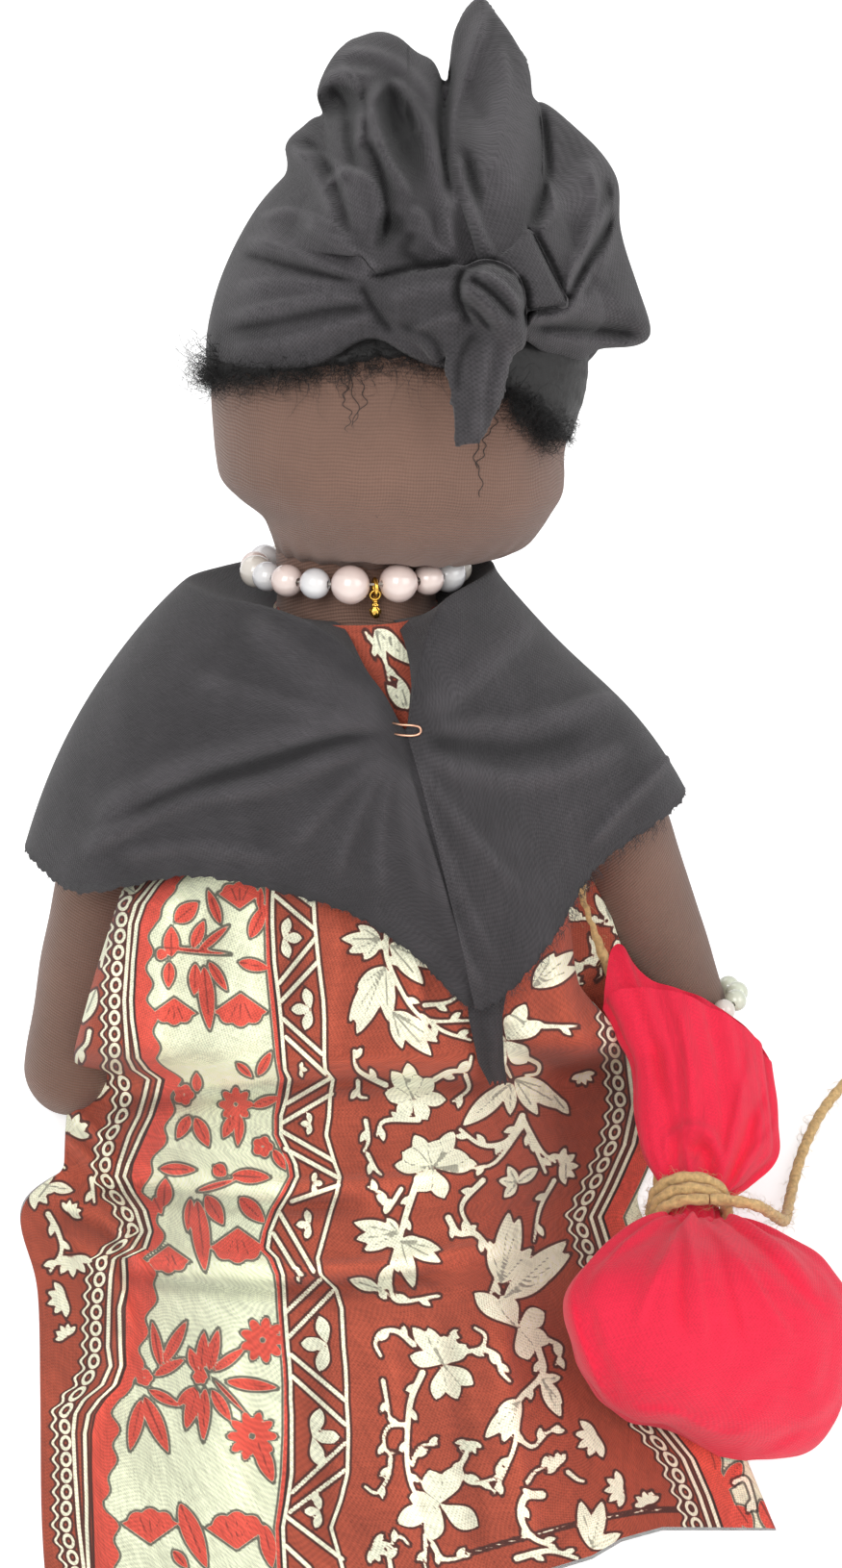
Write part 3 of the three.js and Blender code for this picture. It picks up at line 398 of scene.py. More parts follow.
def fibres(name, roots, directions, lengths, radius, curl, seed):
    """Thin curling hairs: each runs out from its root and bends by a random turn, as a bar of three
    sides."""
    random = np.random.default_rng(seed)
    count, steps = len(roots), 7
    share = np.linspace(0, 1, steps)[None, :, None]
    bend = unit(random.normal(size=(count, 1, 3)))
    sway = unit(np.cross(directions[:, None], bend))
    phase = random.uniform(0, 2 * math.pi, (count, 1, 1))
    waves = random.uniform(0.6, 1.6, (count, 1, 1)) * 2 * math.pi
    reach = lengths[:, None, None]
    swaying = sway * (np.sin(waves * share + phase) - np.sin(phase))
    bending = bend * (np.cos(waves * share + phase) - np.cos(phase)) * share
    centre = roots[:, None] + directions[:, None] * reach * share + curl * reach * (swaying + bending)
    turn = (np.array([0, 2, 4]) * math.pi / 3)[None, None, :, None]
    thick = radius * (1 - 0.75 * share[..., None])
    ring = np.cos(turn) * sway[:, :, None] + np.sin(turn) * bend[:, :, None]
    points = (centre[:, :, None] + ring * thick).reshape(-1, 3)
    strand = np.arange(count)[:, None, None] * steps * 3
    i, j = np.meshgrid(np.arange(steps - 1), np.arange(3), indexing="ij")
    quads = np.stack([i * 3 + j, i * 3 + (j + 1) % 3, (i + 1) * 3 + (j + 1) % 3, (i + 1) * 3 + j], -1)
    faces = (strand + quads.reshape(1, -1, 4)).reshape(-1, 4)
    mesh = bpy.data.meshes.new(name)
    mesh.from_pydata(points.tolist(), [], faces.tolist())
    mesh.shade_smooth()
    return new_object(name, mesh)


def twine_fuzz(name, path, seed, frayed):
    """Fibres that stand off a stretch of twine, with a brush of them at its far end if that is frayed."""
    random = np.random.default_rng(seed)
    spots = random.integers(2, len(path) - 2, int(len(path) * 1.6))
    tangents = unit(np.gradient(path, axis=0))
    around = unit(np.cross(tangents[spots], random.normal(size=(len(spots), 3))))
    roots = path[spots] + around * twine_diameter * 0.42
    directions = unit(around * 0.6 + tangents[spots] * random.choice([-1, 1], (len(spots), 1)))
    lengths = random.uniform(1.5, 4.5, len(spots)) * mm
    if frayed:
        brush = 60
        spray = random.normal(size=(brush, 3))
        roots = np.vstack([roots, path[-1] + spray * twine_diameter * 0.16 - tangents[-1] * mm])
        directions = np.vstack([directions, unit(tangents[-1] + spray * 0.3)])
        lengths = np.concatenate([lengths, random.uniform(2, 4, brush) * mm])
    low_enough = roots[:, 2] + np.minimum(directions[:, 2], 0) * lengths > 0
    fuzz = fibres(name, roots[low_enough], directions[low_enough], lengths[low_enough], 0.07 * mm, 0.16, seed)
    fuzz.data.materials.append(jute)
    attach(fuzz, "pouch")
    return fuzz


twine_parts = [
    ("twine_winding", "pouch_twine", np.vstack([winding_leads[0], winding_path, winding_leads[1]])),
    ("twine_end_right_cord", "twine_end_right", free_path(winding_leads[0], across, twine_right_route)),
    ("twine_end_left_cord", "twine_end_left", free_path(winding_leads[1], down, twine_left_route)),
]
for number, (name, node, path) in enumerate(twine_parts):
    free = node != "pouch_twine"
    twisted = wind(path, twine_diameter / 2, 20, ply_twist, 2, 0.09)
    twine = surface(name, twisted, round_across=True, capped=True)
    twine.data.materials.append(jute)
    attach(twine, "pouch")
    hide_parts(node)
    fuzz = twine_fuzz(name + "_fibres", path, 11 + number, free)

# The head is a ball of fine brown nylon knit, stuffed firm and gathered on to the neck. It has no features.
# Its sections go up the spine: each has a height, the places of its two sides, and its front and back.
head_table = np.array([
    # height, left side, right side, front, back
    [153.4, -15.0, 27.0, 15.0, -16.0], [154.6, -17.3, 33.5, 19.5, -20.0], [157.0, -18.4, 38.6, 25.5, -24.5],
    [160.5, -19.4, 41.6, 31.5, -28.5], [164.5, -21.2, 44.0, 35.5, -31.5], [168.5, -26.0, 46.2, 38.0, -33.5],
    [172.5, -29.6, 46.6, 39.6, -34.5], [177.5, -30.6, 46.4, 40.6, -35.2], [184.0, -31.0, 47.4, 41.0, -35.2],
    [191.0, -31.2, 49.6, 40.6, -35.0], [200.0, -30.6, 50.0, 39.0, -34.0], [210.0, -27.5, 47.0, 35.5, -31.0],
    [220.0, -20.5, 40.5, 29.0, -25.5], [228.0, -10.0, 30.5, 20.0, -17.0], [232.6, 3.0, 17.0, 8.0, -6.0],
])
head_around, head_rows = 144, 110


def squarer(wave, roundness):
    """A sine or cosine drawn out by a power, for an oval that is a little squarer than an ellipse."""
    return np.sign(wave) * np.abs(wave) ** (2 / roundness)


def oval_rings(table, around, rows, roundness=2.15):
    """Closed oval sections up the spine: each runs round from its right side over its back and its front."""
    place = np.linspace(0, len(table) - 1, rows)
    height, left, right, ahead, behind = (through(table, place)[:, k, None] * mm for k in range(5))
    turn = np.linspace(0, 2 * math.pi, around, endpoint=False)[None]
    x = (left + right) / 2 + (right - left) / 2 * squarer(np.cos(turn), roundness)
    forward = (ahead + behind) / 2 + (ahead - behind) / 2 * squarer(np.sin(turn), roundness)
    return on_body(x, np.broadcast_to(height, x.shape), forward), turn


def lumps(points, size, seed):
    """Soft unevenness of a stuffed piece: a sum of a few waves in random directions, from -1 to 1."""
    random = np.random.default_rng(seed)
    total = np.zeros(points.shape[:-1])
    for _ in range(7):
        heading = unit(random.normal(size=3)) * 2 * math.pi / (size * random.uniform(0.7, 1.5))
        total += np.sin(points @ heading + random.uniform(0, 2 * math.pi))
    return total / 7


def push_out(grid, amount, centre):
    """Moves each point of a grid along the grid's own normal, away from the centre, by an amount."""
    down_grid = np.gradient(grid, axis=0)
    round_grid = np.roll(grid, -1, 1) - np.roll(grid, 1, 1)
    normal = unit(np.cross(round_grid, down_grid))
    facing = np.sign(((grid - centre) * normal).sum(-1, keepdims=True))
    return grid + normal * facing * amount[..., None]


knit, knit_tree, knit_shader = new_material("brown nylon knit", 0.82, sheen=0.25)
course_height, wale_width, course_wander = 0.78 * mm, 0.6 * mm, 1.2 * mm
knit_cloth = put(knit_tree, "ShaderNodeSeparateXYZ", {0: cloth_place(knit_tree)}).outputs
knit_wander = put(knit_tree, "ShaderNodeTexNoise",
                  {"Vector": object_place(knit_tree), "Scale": 40.0, "Detail": 1.0}).outputs[0]
course_place = calc(knit_tree, "MULTIPLY_ADD", knit_wander, course_wander, knit_cloth[1])
course = calc(knit_tree, "SINE", calc(knit_tree, "MULTIPLY", course_place, 2 * math.pi / course_height))
wale = calc(knit_tree, "SINE", calc(knit_tree, "MULTIPLY", knit_cloth[0], 2 * math.pi / wale_width))
stitch = calc(knit_tree, "MULTIPLY_ADD", wale, 0.35, course)
knit_tone = group_node(knit_tree, mottle, {0: object_place(knit_tree), 1: 55.0, 2: colour(122, 92, 78),
                                           3: 0.28}).outputs[0]
# the colour is lighter on the stitches' ridges and darker between them: painted light and painted shade over
# the knit, besides its bump
knit_ribbed = scaled(knit_tree, knit_tone, calc(knit_tree, "MULTIPLY_ADD", stitch, 0.10, 1.0))
knit_tree.links.new(knit_ribbed, knit_shader.inputs["Base Color"])
bumped(knit_tree, knit_shader, stitch, 0.09 * mm, 0.8)

head_grid, head_turn = oval_rings(head_table, head_around, head_rows)
head_centre = on_body(9.5 * mm, 192 * mm, 3 * mm)
gather_top, gather_length, gather_count, gather_depth = 162 * mm, 9 * mm, 26, 0.35 * mm
gathered = np.clip((gather_top - head_grid @ spine) / gather_length, 0, 1)
neck_gathers = gathered * np.cos(gather_count * head_turn) * gather_depth
head_grid = push_out(head_grid, lumps(head_grid, 38 * mm, 3) * 0.7 * mm + neck_gathers, head_centre)
# the gathered underside closes in rings, so that it can give way to the pearls
underside_middle = head_grid[0].mean(0)
underside_shares = np.linspace(0.3, 0.97, 16)[:, None, None]
underside = underside_middle + (head_grid[:1] - underside_middle) * underside_shares
head_grid = np.concatenate([underside, head_grid])
head = cloth_surface("head_knit", head_grid, round_across=True, capped=True)
head.data.materials.append(knit)
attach(head, "head")
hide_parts("head")

# The neck and torso are one stuffed body of the same knit: it carries the head, arms and legs inside the
# clothes.
torso_table = np.array([
    [2.0, -22, 22, 17, -17], [8.0, -29, 29, 21, -21], [19.0, -33, 33, 24, -24], [45.0, -35, 35, 24, -24],
    [74.0, -35, 35, 21.5, -21.5], [104.0, -33.5, 33.5, 19.5, -19.5], [120.0, -31, 31, 18, -18],
    [129.0, -27.5, 27.5, 17.5, -17.5], [136.0, -22, 22, 17.5, -17.5], [143.0, -18.4, 18.4, 18.4, -18.4],
    [152.0, -18.2, 18.2, 18.2, -18.2], [161.0, -18.2, 18.2, 18.2, -18.2],
])
torso_grid, _ = oval_rings(torso_table, 96, 90, 2.0)
torso_seat = 1.35 * mm
torso_grid[..., 2] = np.maximum(torso_grid[..., 2], torso_seat)
torso = cloth_surface("torso_knit", torso_grid, round_across=True, capped=True)
torso.data.materials.append(knit)
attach(torso, "root")
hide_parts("torso")

# Arms and legs are short stuffed limbs of the same knit, sewn on at the shoulders and hips, with no fingers
# or toes.
body_half = 40 * mm
shoulder_height = 134 * mm
arm_radius, wrist_radius, leg_radius = 12.5 * mm, 10 * mm, 13 * mm
shoulder_x = body_half + arm_radius / 3
shoulder_along = shoulder_height - 0.85 * arm_radius


def body_places(shares):
    """Places given as shares of the body's half width, half width and height."""
    return np.array(shares) * [body_half, body_half, shoulder_height]


arm_right_path = np.vstack([on_body(-shoulder_x, shoulder_along, 0),
                            body_places([[-1.42, 0.93, 0.6], [-1.66, 0.76, 0.34], [-1.93, 0.48, 0.012]])])
arm_left_path = np.vstack([on_body(38 * mm, 112 * mm, 0), body_places(
    [[1.42, 0.94, 0.66], [1.74, 0.84, 0.44], [2.07, 0.64, 0.19], [2.16, 0.02, 0.045]])])
leg_shares = np.array([[0.5, 0.2, 0.13], [0.56, -0.9, 0.11], [0.6, -1.5, 0.078], [0.63, -2.0, 0.047]])
leg_radius_shares = np.array([0.88, 0.84, 0.66, 0.32])


def centripetal(points, count):
    """Centripetal Catmull-Rom curve: its knots are spaced by the square root of the distance between
    points."""
    points = np.asarray(points, float)
    ends = np.vstack([2 * points[0] - points[1], points, 2 * points[-1] - points[-2]])
    knots = np.concatenate([[0], np.cumsum(np.sqrt(np.linalg.norm(np.diff(ends, axis=0), axis=1)))])
    place = np.linspace(0, len(points) - 1, count)
    low = np.clip(place.astype(int), 0, len(points) - 2)
    time = knots[low + 1] + (place - low) * (knots[low + 2] - knots[low + 1])
    p = [ends[low + k] for k in range(4)]
    t = [knots[low + k] for k in range(4)]

    def between(a, b, ta, tb):
        """The point at this time on the line between two timed points."""
        return ((tb - time) / (tb - ta))[:, None] * a + ((time - ta) / (tb - ta))[:, None] * b

    a = [between(p[k], p[k + 1], t[k], t[k + 1]) for k in range(3)]
    b = [between(a[k], a[k + 1], t[k], t[k + 2]) for k in range(2)]
    return between(b[0], b[1], t[1], t[2])


def limb_rings(route, radii, rows, around):
    """Rings along a limb: its radius follows the table and closes at both ends like a ball."""
    path = centripetal(route, 400)
    along = lengths_along(path, 0)
    share = (1 - np.cos(np.pi * (np.arange(rows) + 0.5) / rows)) / 2
    points = np.stack([np.interp(share * along[-1], along, path[:, k]) for k in range(3)], -1)
    radius = through(radii, share * (len(radii) - 1))[:, 0]
    from_end = np.minimum(share, 1 - share) * along[-1]
    rounded = np.sqrt(np.clip(1 - (1 - np.clip(from_end / radius, 0, 1)) ** 2, 1e-4, 1))
    tangents = unit(np.gradient(points, axis=0))
    side = unit(np.cross(tangents, front))
    upward = np.cross(side, tangents)
    turn = np.linspace(0, 2 * math.pi, around, endpoint=False)
    reach = (radius * rounded)[:, None]
    return (points[:, None] + (reach * np.cos(turn))[..., None] * side[:, None]
            + (reach * np.sin(turn))[..., None] * upward[:, None])


def stuffed_limb(name, node, body, route, radii, seed):
    """One stuffed limb with soft lumps, flattened where it meets the floor."""
    grid = limb_rings(route, radii, 120, 64)
    grid = push_out(grid, lumps(grid, 22 * mm, seed) * 0.45 * mm, grid.mean((0, 1)))
    grid[..., 2] = np.maximum(grid[..., 2], 0.0)
    made = cloth_surface(name, grid, round_across=True, capped=True)
    made.data.materials.append(knit)
    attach(made, body)
    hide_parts(node)


stuffed_limb("arm_right_knit", "arm_right", "arm_right", arm_right_path,
             [arm_radius, arm_radius, arm_radius, arm_radius * 0.9], 21)
stuffed_limb("arm_left_knit", "arm_left", "arm_left", arm_left_path,
             [arm_radius, arm_radius, arm_radius * 0.94, wrist_radius, wrist_radius * 1.03], 22)
for side, word in ((-1, "right"), (1, "left")):
    stuffed_limb(f"leg_{word}_knit", f"leg_{word}", "root", body_places(leg_shares * [side, 1, 1]),
                 leg_radius * leg_radius_shares, 23 + side)

# The dress is printed cotton in two panels, front and back, sewn together at the sides, with a narrow hem.
# It hangs from the shoulders, goes over the lap and the stretched legs, and lies out on the floor at the
# front.
chest_half, body_deep = 50.5 * mm, 24 * mm
skirt_half, skirt_length, lap_height, hem_height = 75 * mm, 104 * mm, 50 * mm, 3 * mm
# front along, front forward, back along, back forward, half width: shares of shoulder height, depth and
# chest
bodice_shares = np.array([
    [1.062, 0.955, 1.08, -0.88, 0.35], [1, 1.06, 1.02, -0.94, 0.53], [0.95, 1.15, 0.985, -0.96, 0.82],
    [0.86, 1.23, 0.88, -0.96, 0.88], [0.71, 1.29, 0.71, -0.96, 0.92], [0.56, 1.35, 0.52, -1.04, 0.98],
    [0.43, 1.42, 0.36, -1.21, 1.03], [0.343, 1.46, 0.21, -1.33, 1.07],
])
# front y, front z, back y, back z, left edge, right edge, share of mound: shares of the skirt's sizes
lap_shares = np.array([
    [-0.17, 1, 0.41, 0.05, -0.74, 0.74, 0.5], [-0.24, 0.95, 0.375, 0, -0.76, 0.78, 1],
    [-0.35, 0.84, 0.11, 0, -0.82, 0.85, 1], [-0.5, 0.7, -0.1, 0, -1.1, 0.9, 1],
    [-0.65, 0.54, -0.35, 0, -1, 0.98, 1], [-0.81, 0.34, -0.6, 0, -0.93, 1.06, 1],
    [-0.93, 0.17, -0.83, 0, -0.87, 1.13, 1], [-1.01, 0, -1, 0, -0.82, 1.18, 1],
])
dress_rows = np.array(
    [[*on_body(0.0, shoulder_height * a, body_deep * f), *on_body(0.0, shoulder_height * b, body_deep * g),
      -chest_half * w, chest_half * w, 0] for a, f, b, g, w in bodice_shares]
    + [[0, skirt_length * y, max(lap_height * z, hem_height), 0, skirt_length * v, lap_height * w,
        skirt_half * left, skirt_half * right, mound] for y, z, v, w, left, right, mound in lap_shares])
mound_half, dress_roundness = 44 * mm, 2.3


def dress_surface(place, turn):
    """The dress's outside: row places count down from the neckline, turns run round from the left of the
    doll. A bodice row is an oval; a lap row is a low mound that swells over the legs and falls to the floor
    at its sides."""
    row = through(dress_rows, place)[:, None]
    top, low, left, right = row[..., 0:3], row[..., 3:6], row[..., 6], row[..., 7]
    mound = np.clip(row[..., 8], 0, 1)
    deep = top - low
    length = np.linalg.norm(deep, axis=-1)
    steep = np.clip(deep[..., 2] / length, 0.3, None)
    edge = np.minimum(hem_height / length / steep, 1)
    c, s = np.cos(turn)[None], np.sin(turn)[None]
    oval_x, oval_rise = squarer(c, dress_roundness), 0.5 + 0.5 * squarer(s, dress_roundness)
    x = (left + right) / 2 + (right - left) / 2 * (oval_x + (c - oval_x) * mound)
    swell = np.exp(-((x / mound_half) ** 4))
    mound_rise = np.where(s > 0, (edge + (1 - edge) * swell) * np.abs(s) ** 0.35, 0)
    height = oval_rise + (mound_rise - oval_rise) * mound
    return low + deep * height[..., None] + x[..., None] * across


def ease(value, start, end):
    """From 0 at the start to 1 at the end, smoothly."""
    share = np.clip((value - start) / (end - start), 0, 1)
    return share * share * (3 - 2 * share)


def creases(points, lines):
    """The height at each point of folds that are drawn over the photograph in its pixels. Each line has a
    half width in pixels, a height in millimetres (below zero for a groove), the sharpness of its left flank
    as a share of its right one, and its course. A fold dies out at both its ends."""
    seen_x, seen_y = pixel_of(points)
    total = np.zeros(seen_x.shape)
    for half_width, height, sharpness, course in lines:
        route = through(np.array(course, float), np.linspace(0, len(course) - 1, 5 * len(course)))
        reach = 3 * half_width
        near = ((seen_x > route[:, 0].min() - reach) & (seen_x < route[:, 0].max() + reach)
                & (seen_y > route[:, 1].min() - reach) & (seen_y < route[:, 1].max() + reach))
        if not near.any():
            continue
        spot = np.stack([seen_x[near], seen_y[near]], -1)
        best = np.full(len(spot), 1e9)
        signed = np.zeros(len(spot))
        course_share = np.zeros(len(spot))
        for number in range(len(route) - 1):
            start, step = route[number], route[number + 1] - route[number]
            share = np.clip((spot - start) @ step / (step @ step), 0, 1)
            offset = spot - start - share[:, None] * step
            distance = np.hypot(offset[:, 0], offset[:, 1])
            closer = distance < best
            best = np.where(closer, distance, best)
            signed = np.where(closer, np.sign(step[0] * offset[:, 1] - step[1] * offset[:, 0]), signed)
            course_share = np.where(closer, (number + share) / (len(route) - 1), course_share)
        width = np.where(signed > 0, half_width, half_width * sharpness)
        fading = ease(course_share, 0.0, 0.18) * (1 - ease(course_share, 0.8, 1.0))
        total[near] += height * mm * np.exp(-((best / width) ** 2)) * fading
    return total


def hollows(points, table):
    """The height of soft round swells and hollows: centre and half sizes in pixels, lean in degrees,
    millimetres."""
    seen_x, seen_y = pixel_of(points)
    total = np.zeros(seen_x.shape)
    for centre_x, centre_y, half_x, half_y, turned, height in table:
        c, s = math.cos(math.radians(turned)), math.sin(math.radians(turned))
        u = ((seen_x - centre_x) * c + (seen_y - centre_y) * s) / half_x
        v = ((seen_y - centre_y) * c - (seen_x - centre_x) * s) / half_y
        total += height * mm * np.exp(-((u * u + v * v) ** 1.5))
    return total


def toward_camera(points):
    """The direction from each point to the camera: moving along it leaves the outline as the photograph has
    it."""
    return unit(camera_place - points)


def grid_normals(grid, inside, round_across=False):
    """The outward normal of each point of a grid."""
    round_grid = np.roll(grid, -1, 1) - np.roll(grid, 1, 1) if round_across else np.gradient(grid, axis=1)
    normal = unit(np.cross(round_grid, np.gradient(grid, axis=0)))
    return normal * np.sign(((grid - inside) * normal).sum(-1, keepdims=True))


front_columns, front_rows, hidden_rows = 310, 320, 24
shawl_edge_row, hem_row = 4, len(dress_rows) - 1
front_share = np.linspace(0, 1, front_columns)
front_turn = 0.3 * np.pi * (1 - front_share) + 0.7 * np.arccos(2 * front_share - 1)
# below the shawl's edge the front's rows stand at even steps down the picture
trial_place = np.linspace(shawl_edge_row, hem_row, 200)
trial_seen = pixel_of(dress_surface(trial_place, np.array([0.5 * np.pi])))[1][:, 0]
trial_length = np.concatenate([[0], np.cumsum(np.maximum(np.diff(trial_seen), 1.5))])
seen_length = np.linspace(0, trial_length[-1], front_rows - hidden_rows)
front_place = np.concatenate([np.linspace(0, shawl_edge_row, hidden_rows, endpoint=False),
                              np.interp(seen_length, trial_length, trial_place)])
front_grid = dress_surface(front_place, front_turn)
back_place = np.linspace(0, hem_row, 300)
back_turn = -np.pi * (1 - np.linspace(0, 1, 320))
back_grid = dress_surface(back_place, back_turn)

# The panels bulge out at both sides below the shawl and hang in front of the arms there. Each edge is
# measured in pixels: down the picture, and its place across.
front_edge_left = np.array([[880, 160], [915, 130], [1000, 103], [1100, 75], [1140, 65], [1200, 66],
                            [1235, 40], [1262, 55]])
front_edge_right = np.array([[1020, 606], [1060, 640], [1110, 668], [1230, 690], [1262, 690]])
back_edge_right = np.array([[885, 604], [925, 622], [960, 640], [1000, 654], [1060, 664], [1262, 670]])
bulge_end = 1190, 1262
largest_bulge, full_bulge = 110, 30
panel_distance = 0.46


def bulged(grid, turn, sides, near_seam, far_from_seam):
    """A panel with its sides drawn out to the measured edges, most at a little way round from each seam."""
    from_side = np.degrees(np.minimum(np.abs(turn), math.pi - np.abs(turn)))[None]
    drawn = ease(from_side, 0, near_seam) * (1 - ease(from_side, near_seam * 1.8, far_from_seam))
    for table, outermost, sign, ahead in sides:
        seen_x, seen_y = pixel_of(grid)
        column = outermost(seen_x, 1)[:, None]
        edge_x, edge_y = np.take_along_axis(seen_x, column, 1), np.take_along_axis(seen_y, column, 1)
        short = np.clip(sign * (np.interp(edge_y, table[:, 0], table[:, 1]) - edge_x), 0, largest_bulge)
        rows = ease(edge_y, table[0, 0] - 30, table[0, 0] + 35) * (1 - ease(edge_y, *bulge_end))
        half = (np.sign(grid[..., :1].mean(1) - grid[..., 0]) == -sign) * drawn * rows
        outwards = sign * (half * short / focal_pixels * panel_distance)[..., None] * across
        forwards = (half * np.minimum(short / full_bulge, 1) * ahead * mm)[..., None] * front
        grid = grid + outwards + forwards
    return grid


dress_creases = [
    (18, 2.4, 0.5, [(75, 1128), (130, 1122), (200, 1116), (300, 1108), (400, 1104), (480, 1106),
                    (560, 1112), (655, 1130)]),
    (11, -2.0, 0.9, [(95, 1150), (180, 1141), (300, 1131), (420, 1126), (560, 1135)]),
    (14, 2.0, 0.5, [(60, 1212), (130, 1214), (200, 1222), (290, 1232), (380, 1229), (460, 1220),
                    (530, 1205)]),
    (10, -1.8, 0.9, [(80, 1238), (150, 1240), (230, 1250), (310, 1254), (400, 1248)]),
    (14, 2.0, 0.5, [(90, 1292), (170, 1304), (250, 1314), (340, 1317), (420, 1310), (500, 1296),
                    (560, 1290)]),
    (10, -1.8, 0.9, [(110, 1322), (200, 1334), (300, 1340), (400, 1334), (480, 1322)]),
    (9, 1.8, 0.5, [(48, 1238), (88, 1252), (130, 1284), (158, 1335)]),
    (8, 1.6, 0.5, [(56, 1282), (95, 1298), (125, 1338), (140, 1390)]),
    (7, -1.6, 0.9, [(62, 1262), (108, 1280), (140, 1318)]),
    (9, 1.5, 0.5, [(68, 1146), (100, 1175), (122, 1216)]),
    (8, 1.3, 0.5, [(66, 1178), (90, 1200), (112, 1232)]),
    (13, 1.5, 0.6, [(188, 900), (178, 980), (168, 1060), (166, 1104)]),
    (12, -1.2, 0.9, [(226, 908), (222, 990), (214, 1080)]),
    (13, 1.3, 0.6, [(262, 912), (263, 990), (258, 1060), (264, 1100)]),
    (13, 1.2, 0.6, [(352, 940), (352, 1010), (345, 1070), (350, 1100)]),
    (12, -1.0, 0.9, [(306, 930), (305, 1000), (300, 1085)]),
    (12, -1.2, 0.9, [(520, 1060), (540, 1090), (600, 1108)]),
    (14, 1.5, 0.6, [(570, 980), (590, 1040), (612, 1104)]),
    (13, 1.4, 0.6, [(430, 985), (436, 1030), (440, 1095)]),
    (16, 1.5, 0.6, [(400, 1352), (410, 1430), (425, 1520), (440, 1628)]),
    (16, 1.4, 0.6, [(240, 1352), (245, 1450), (250, 1540), (256, 1632)]),
    (13, -1.2, 0.9, [(320, 1362), (330, 1470), (336, 1560), (340, 1632)]),
    (14, 1.4, 0.6, [(520, 1340), (530, 1440), (545, 1540), (562, 1620)]),
    (12, -1.1, 0.9, [(470, 1350), (478, 1450), (492, 1560), (500, 1620)]),
    (12, 1.3, 0.6, [(140, 1370), (118, 1430), (92, 1500), (80, 1600)]),
]
# the hem's way past the last row, in pixels down the picture, by its place across
hem_reach = np.array([[0, 34], [560, 30], [614, 14], [646, -4], [690, -16], [810, -16]])
hem_scale = 4600


def drawn_to_hem(grid, place, start):
    """A panel whose last rows reach to the measured hem."""
    reach = np.interp(pixel_of(grid)[0], hem_reach[:, 0], hem_reach[:, 1]) / hem_scale
    grid[..., 1] -= ease(place, start, hem_row)[:, None] * reach
    return grid


front_grid = bulged(front_grid, front_turn, [(front_edge_left, np.argmin, -1, 7),
                                             (front_edge_right, np.argmax, 1, 2)], 11, 72)
back_grid = bulged(back_grid, back_turn, [(back_edge_right, np.argmax, 1, 0)], 8, 36)
front_grid = drawn_to_hem(front_grid, front_place, 11.5)
back_grid = drawn_to_hem(back_grid, back_place, 12.5)
softening = np.array([1, 2, 3, 4, 5, 4, 3, 2, 1]) / 25
softened = sum(share * np.roll(front_grid, offset, 0) for offset, share in zip(range(-8, 9, 2), softening))
front_down = pixel_of(front_grid)[1]
softened_rows = ease(front_down, 1010, 1060) * (1 - ease(front_down, 1330, 1400))
front_grid = front_grid + (softened - front_grid) * softened_rows[..., None]

# The print has four inks on rust: cream, coral, a pale ground and dark outlines. Its bands run down the
# dress. Each row is measured in pixels at one height: the chain, two cream stripes, the coral band from and
# to, the thin coral line, and the two cream lines that hold the band of triangles.
bands = np.array([
    [905, 160, 171, 178, 181, 203, 279, 284, 326], [920, 143, 157, 163, 166, 180, 278, 284, 326],
    [940, 128, 141, 149, 152, 173, 278, 283, 326], [960, 126, 135, 142, 145, 158, 278, 283, 327],
    [1000, 122, 132, 138, 142, 154, 279, 285, 331], [1040, 119, 129, 136, 140, 155, 283, 290, 336],
    [1060, 119, 130, 137, 141, 161, 285, 292, 337], [1100, 119, 133, 143, 147, 163, 289, 295, 337],
    [1112, 121, 139, 152, 157, 175, 291, 296, 338], [1122, 128, 154, 166, 172, 185, 293, 301, 346],
    [1140, 131, 150, 162, 168, 180, 290, 298, 343], [1160, 127, 144, 156, 161, 176, 287, 292, 342],
    [1180, 115, 134, 146, 152, 172, 287, 292, 339], [1210, 109, 124, 133, 139, 158, 301, 307, 348],
    [1223, 109, 121, 129, 137, 152, 303, 309, 353], [1240, 118, 129, 138, 141, 150, 294, 301, 350],
    [1258, 131, 141, 150, 155, 162, 283, 290, 344], [1280, 139, 148, 156, 160, 168, 275, 281, 338],
    [1298, 120, 137, 150, 155, 164, 271, 278, 333], [1308, 106, 118, 128, 133, 150, 281, 288, 330],
    [1325, 104, 115, 129, 134, 160, 288, 294, 333], [1340, 102, 114, 129, 134, 163, 290, 295, 349],
    [1360, 100, 113, 124, 131, 156, 291, 296, 355], [1400, 99, 112, 125, 131, 147, 294, 299, 357],
    [1420, 97, 115, 126, 132, 146, 296, 301, 359], [1440, 88, 106, 119, 125, 140, 297, 302, 360],
    [1455, 75, 87, 103, 110, 120, 297, 302, 360], [1470, 66, 78, 92, 100, 118, 297, 303, 361],
    [1490, 68, 76, 88, 96, 121, 297, 303, 362], [1532, 69, 78, 89, 96, 116, 295, 303, 361],
    [1560, 69, 80, 90, 97, 107, 292, 299, 354], [1588, 68, 82, 90, 98, 121, 288, 294, 344],
    [1630, 78, 87, 92, 99, 120, 290, 296, 356],
])
far_chain = np.array([[930, 614], [960, 620], [1000, 627], [1080, 637], [1148, 645], [1190, 636], [1233, 617],
                      [1265, 601], [1480, 668], [1516, 697], [1555, 714], [1590, 726]])
zigzags = [
    (300, 922, 325, 941), (286, 931, 328, 967), (328, 975, 290, 1022), (330, 1000, 292, 1041),
    (294, 1059, 335, 1096), (297, 1078, 338, 1116), (343, 1121, 298, 1147), (345, 1137, 294, 1167),
    (293, 1176, 347, 1207), (296, 1194, 351, 1224), (352, 1232, 303, 1249), (290, 1260, 326, 1322),
    (284, 1282, 306, 1318), (333, 1330, 297, 1364), (348, 1340, 300, 1390), (302, 1408, 359, 1456),
    (303, 1430, 359, 1481), (359, 1500, 303, 1552), (359, 1528, 301, 1572), (297, 1576, 356, 1621),
    (296, 1606, 322, 1630),
]
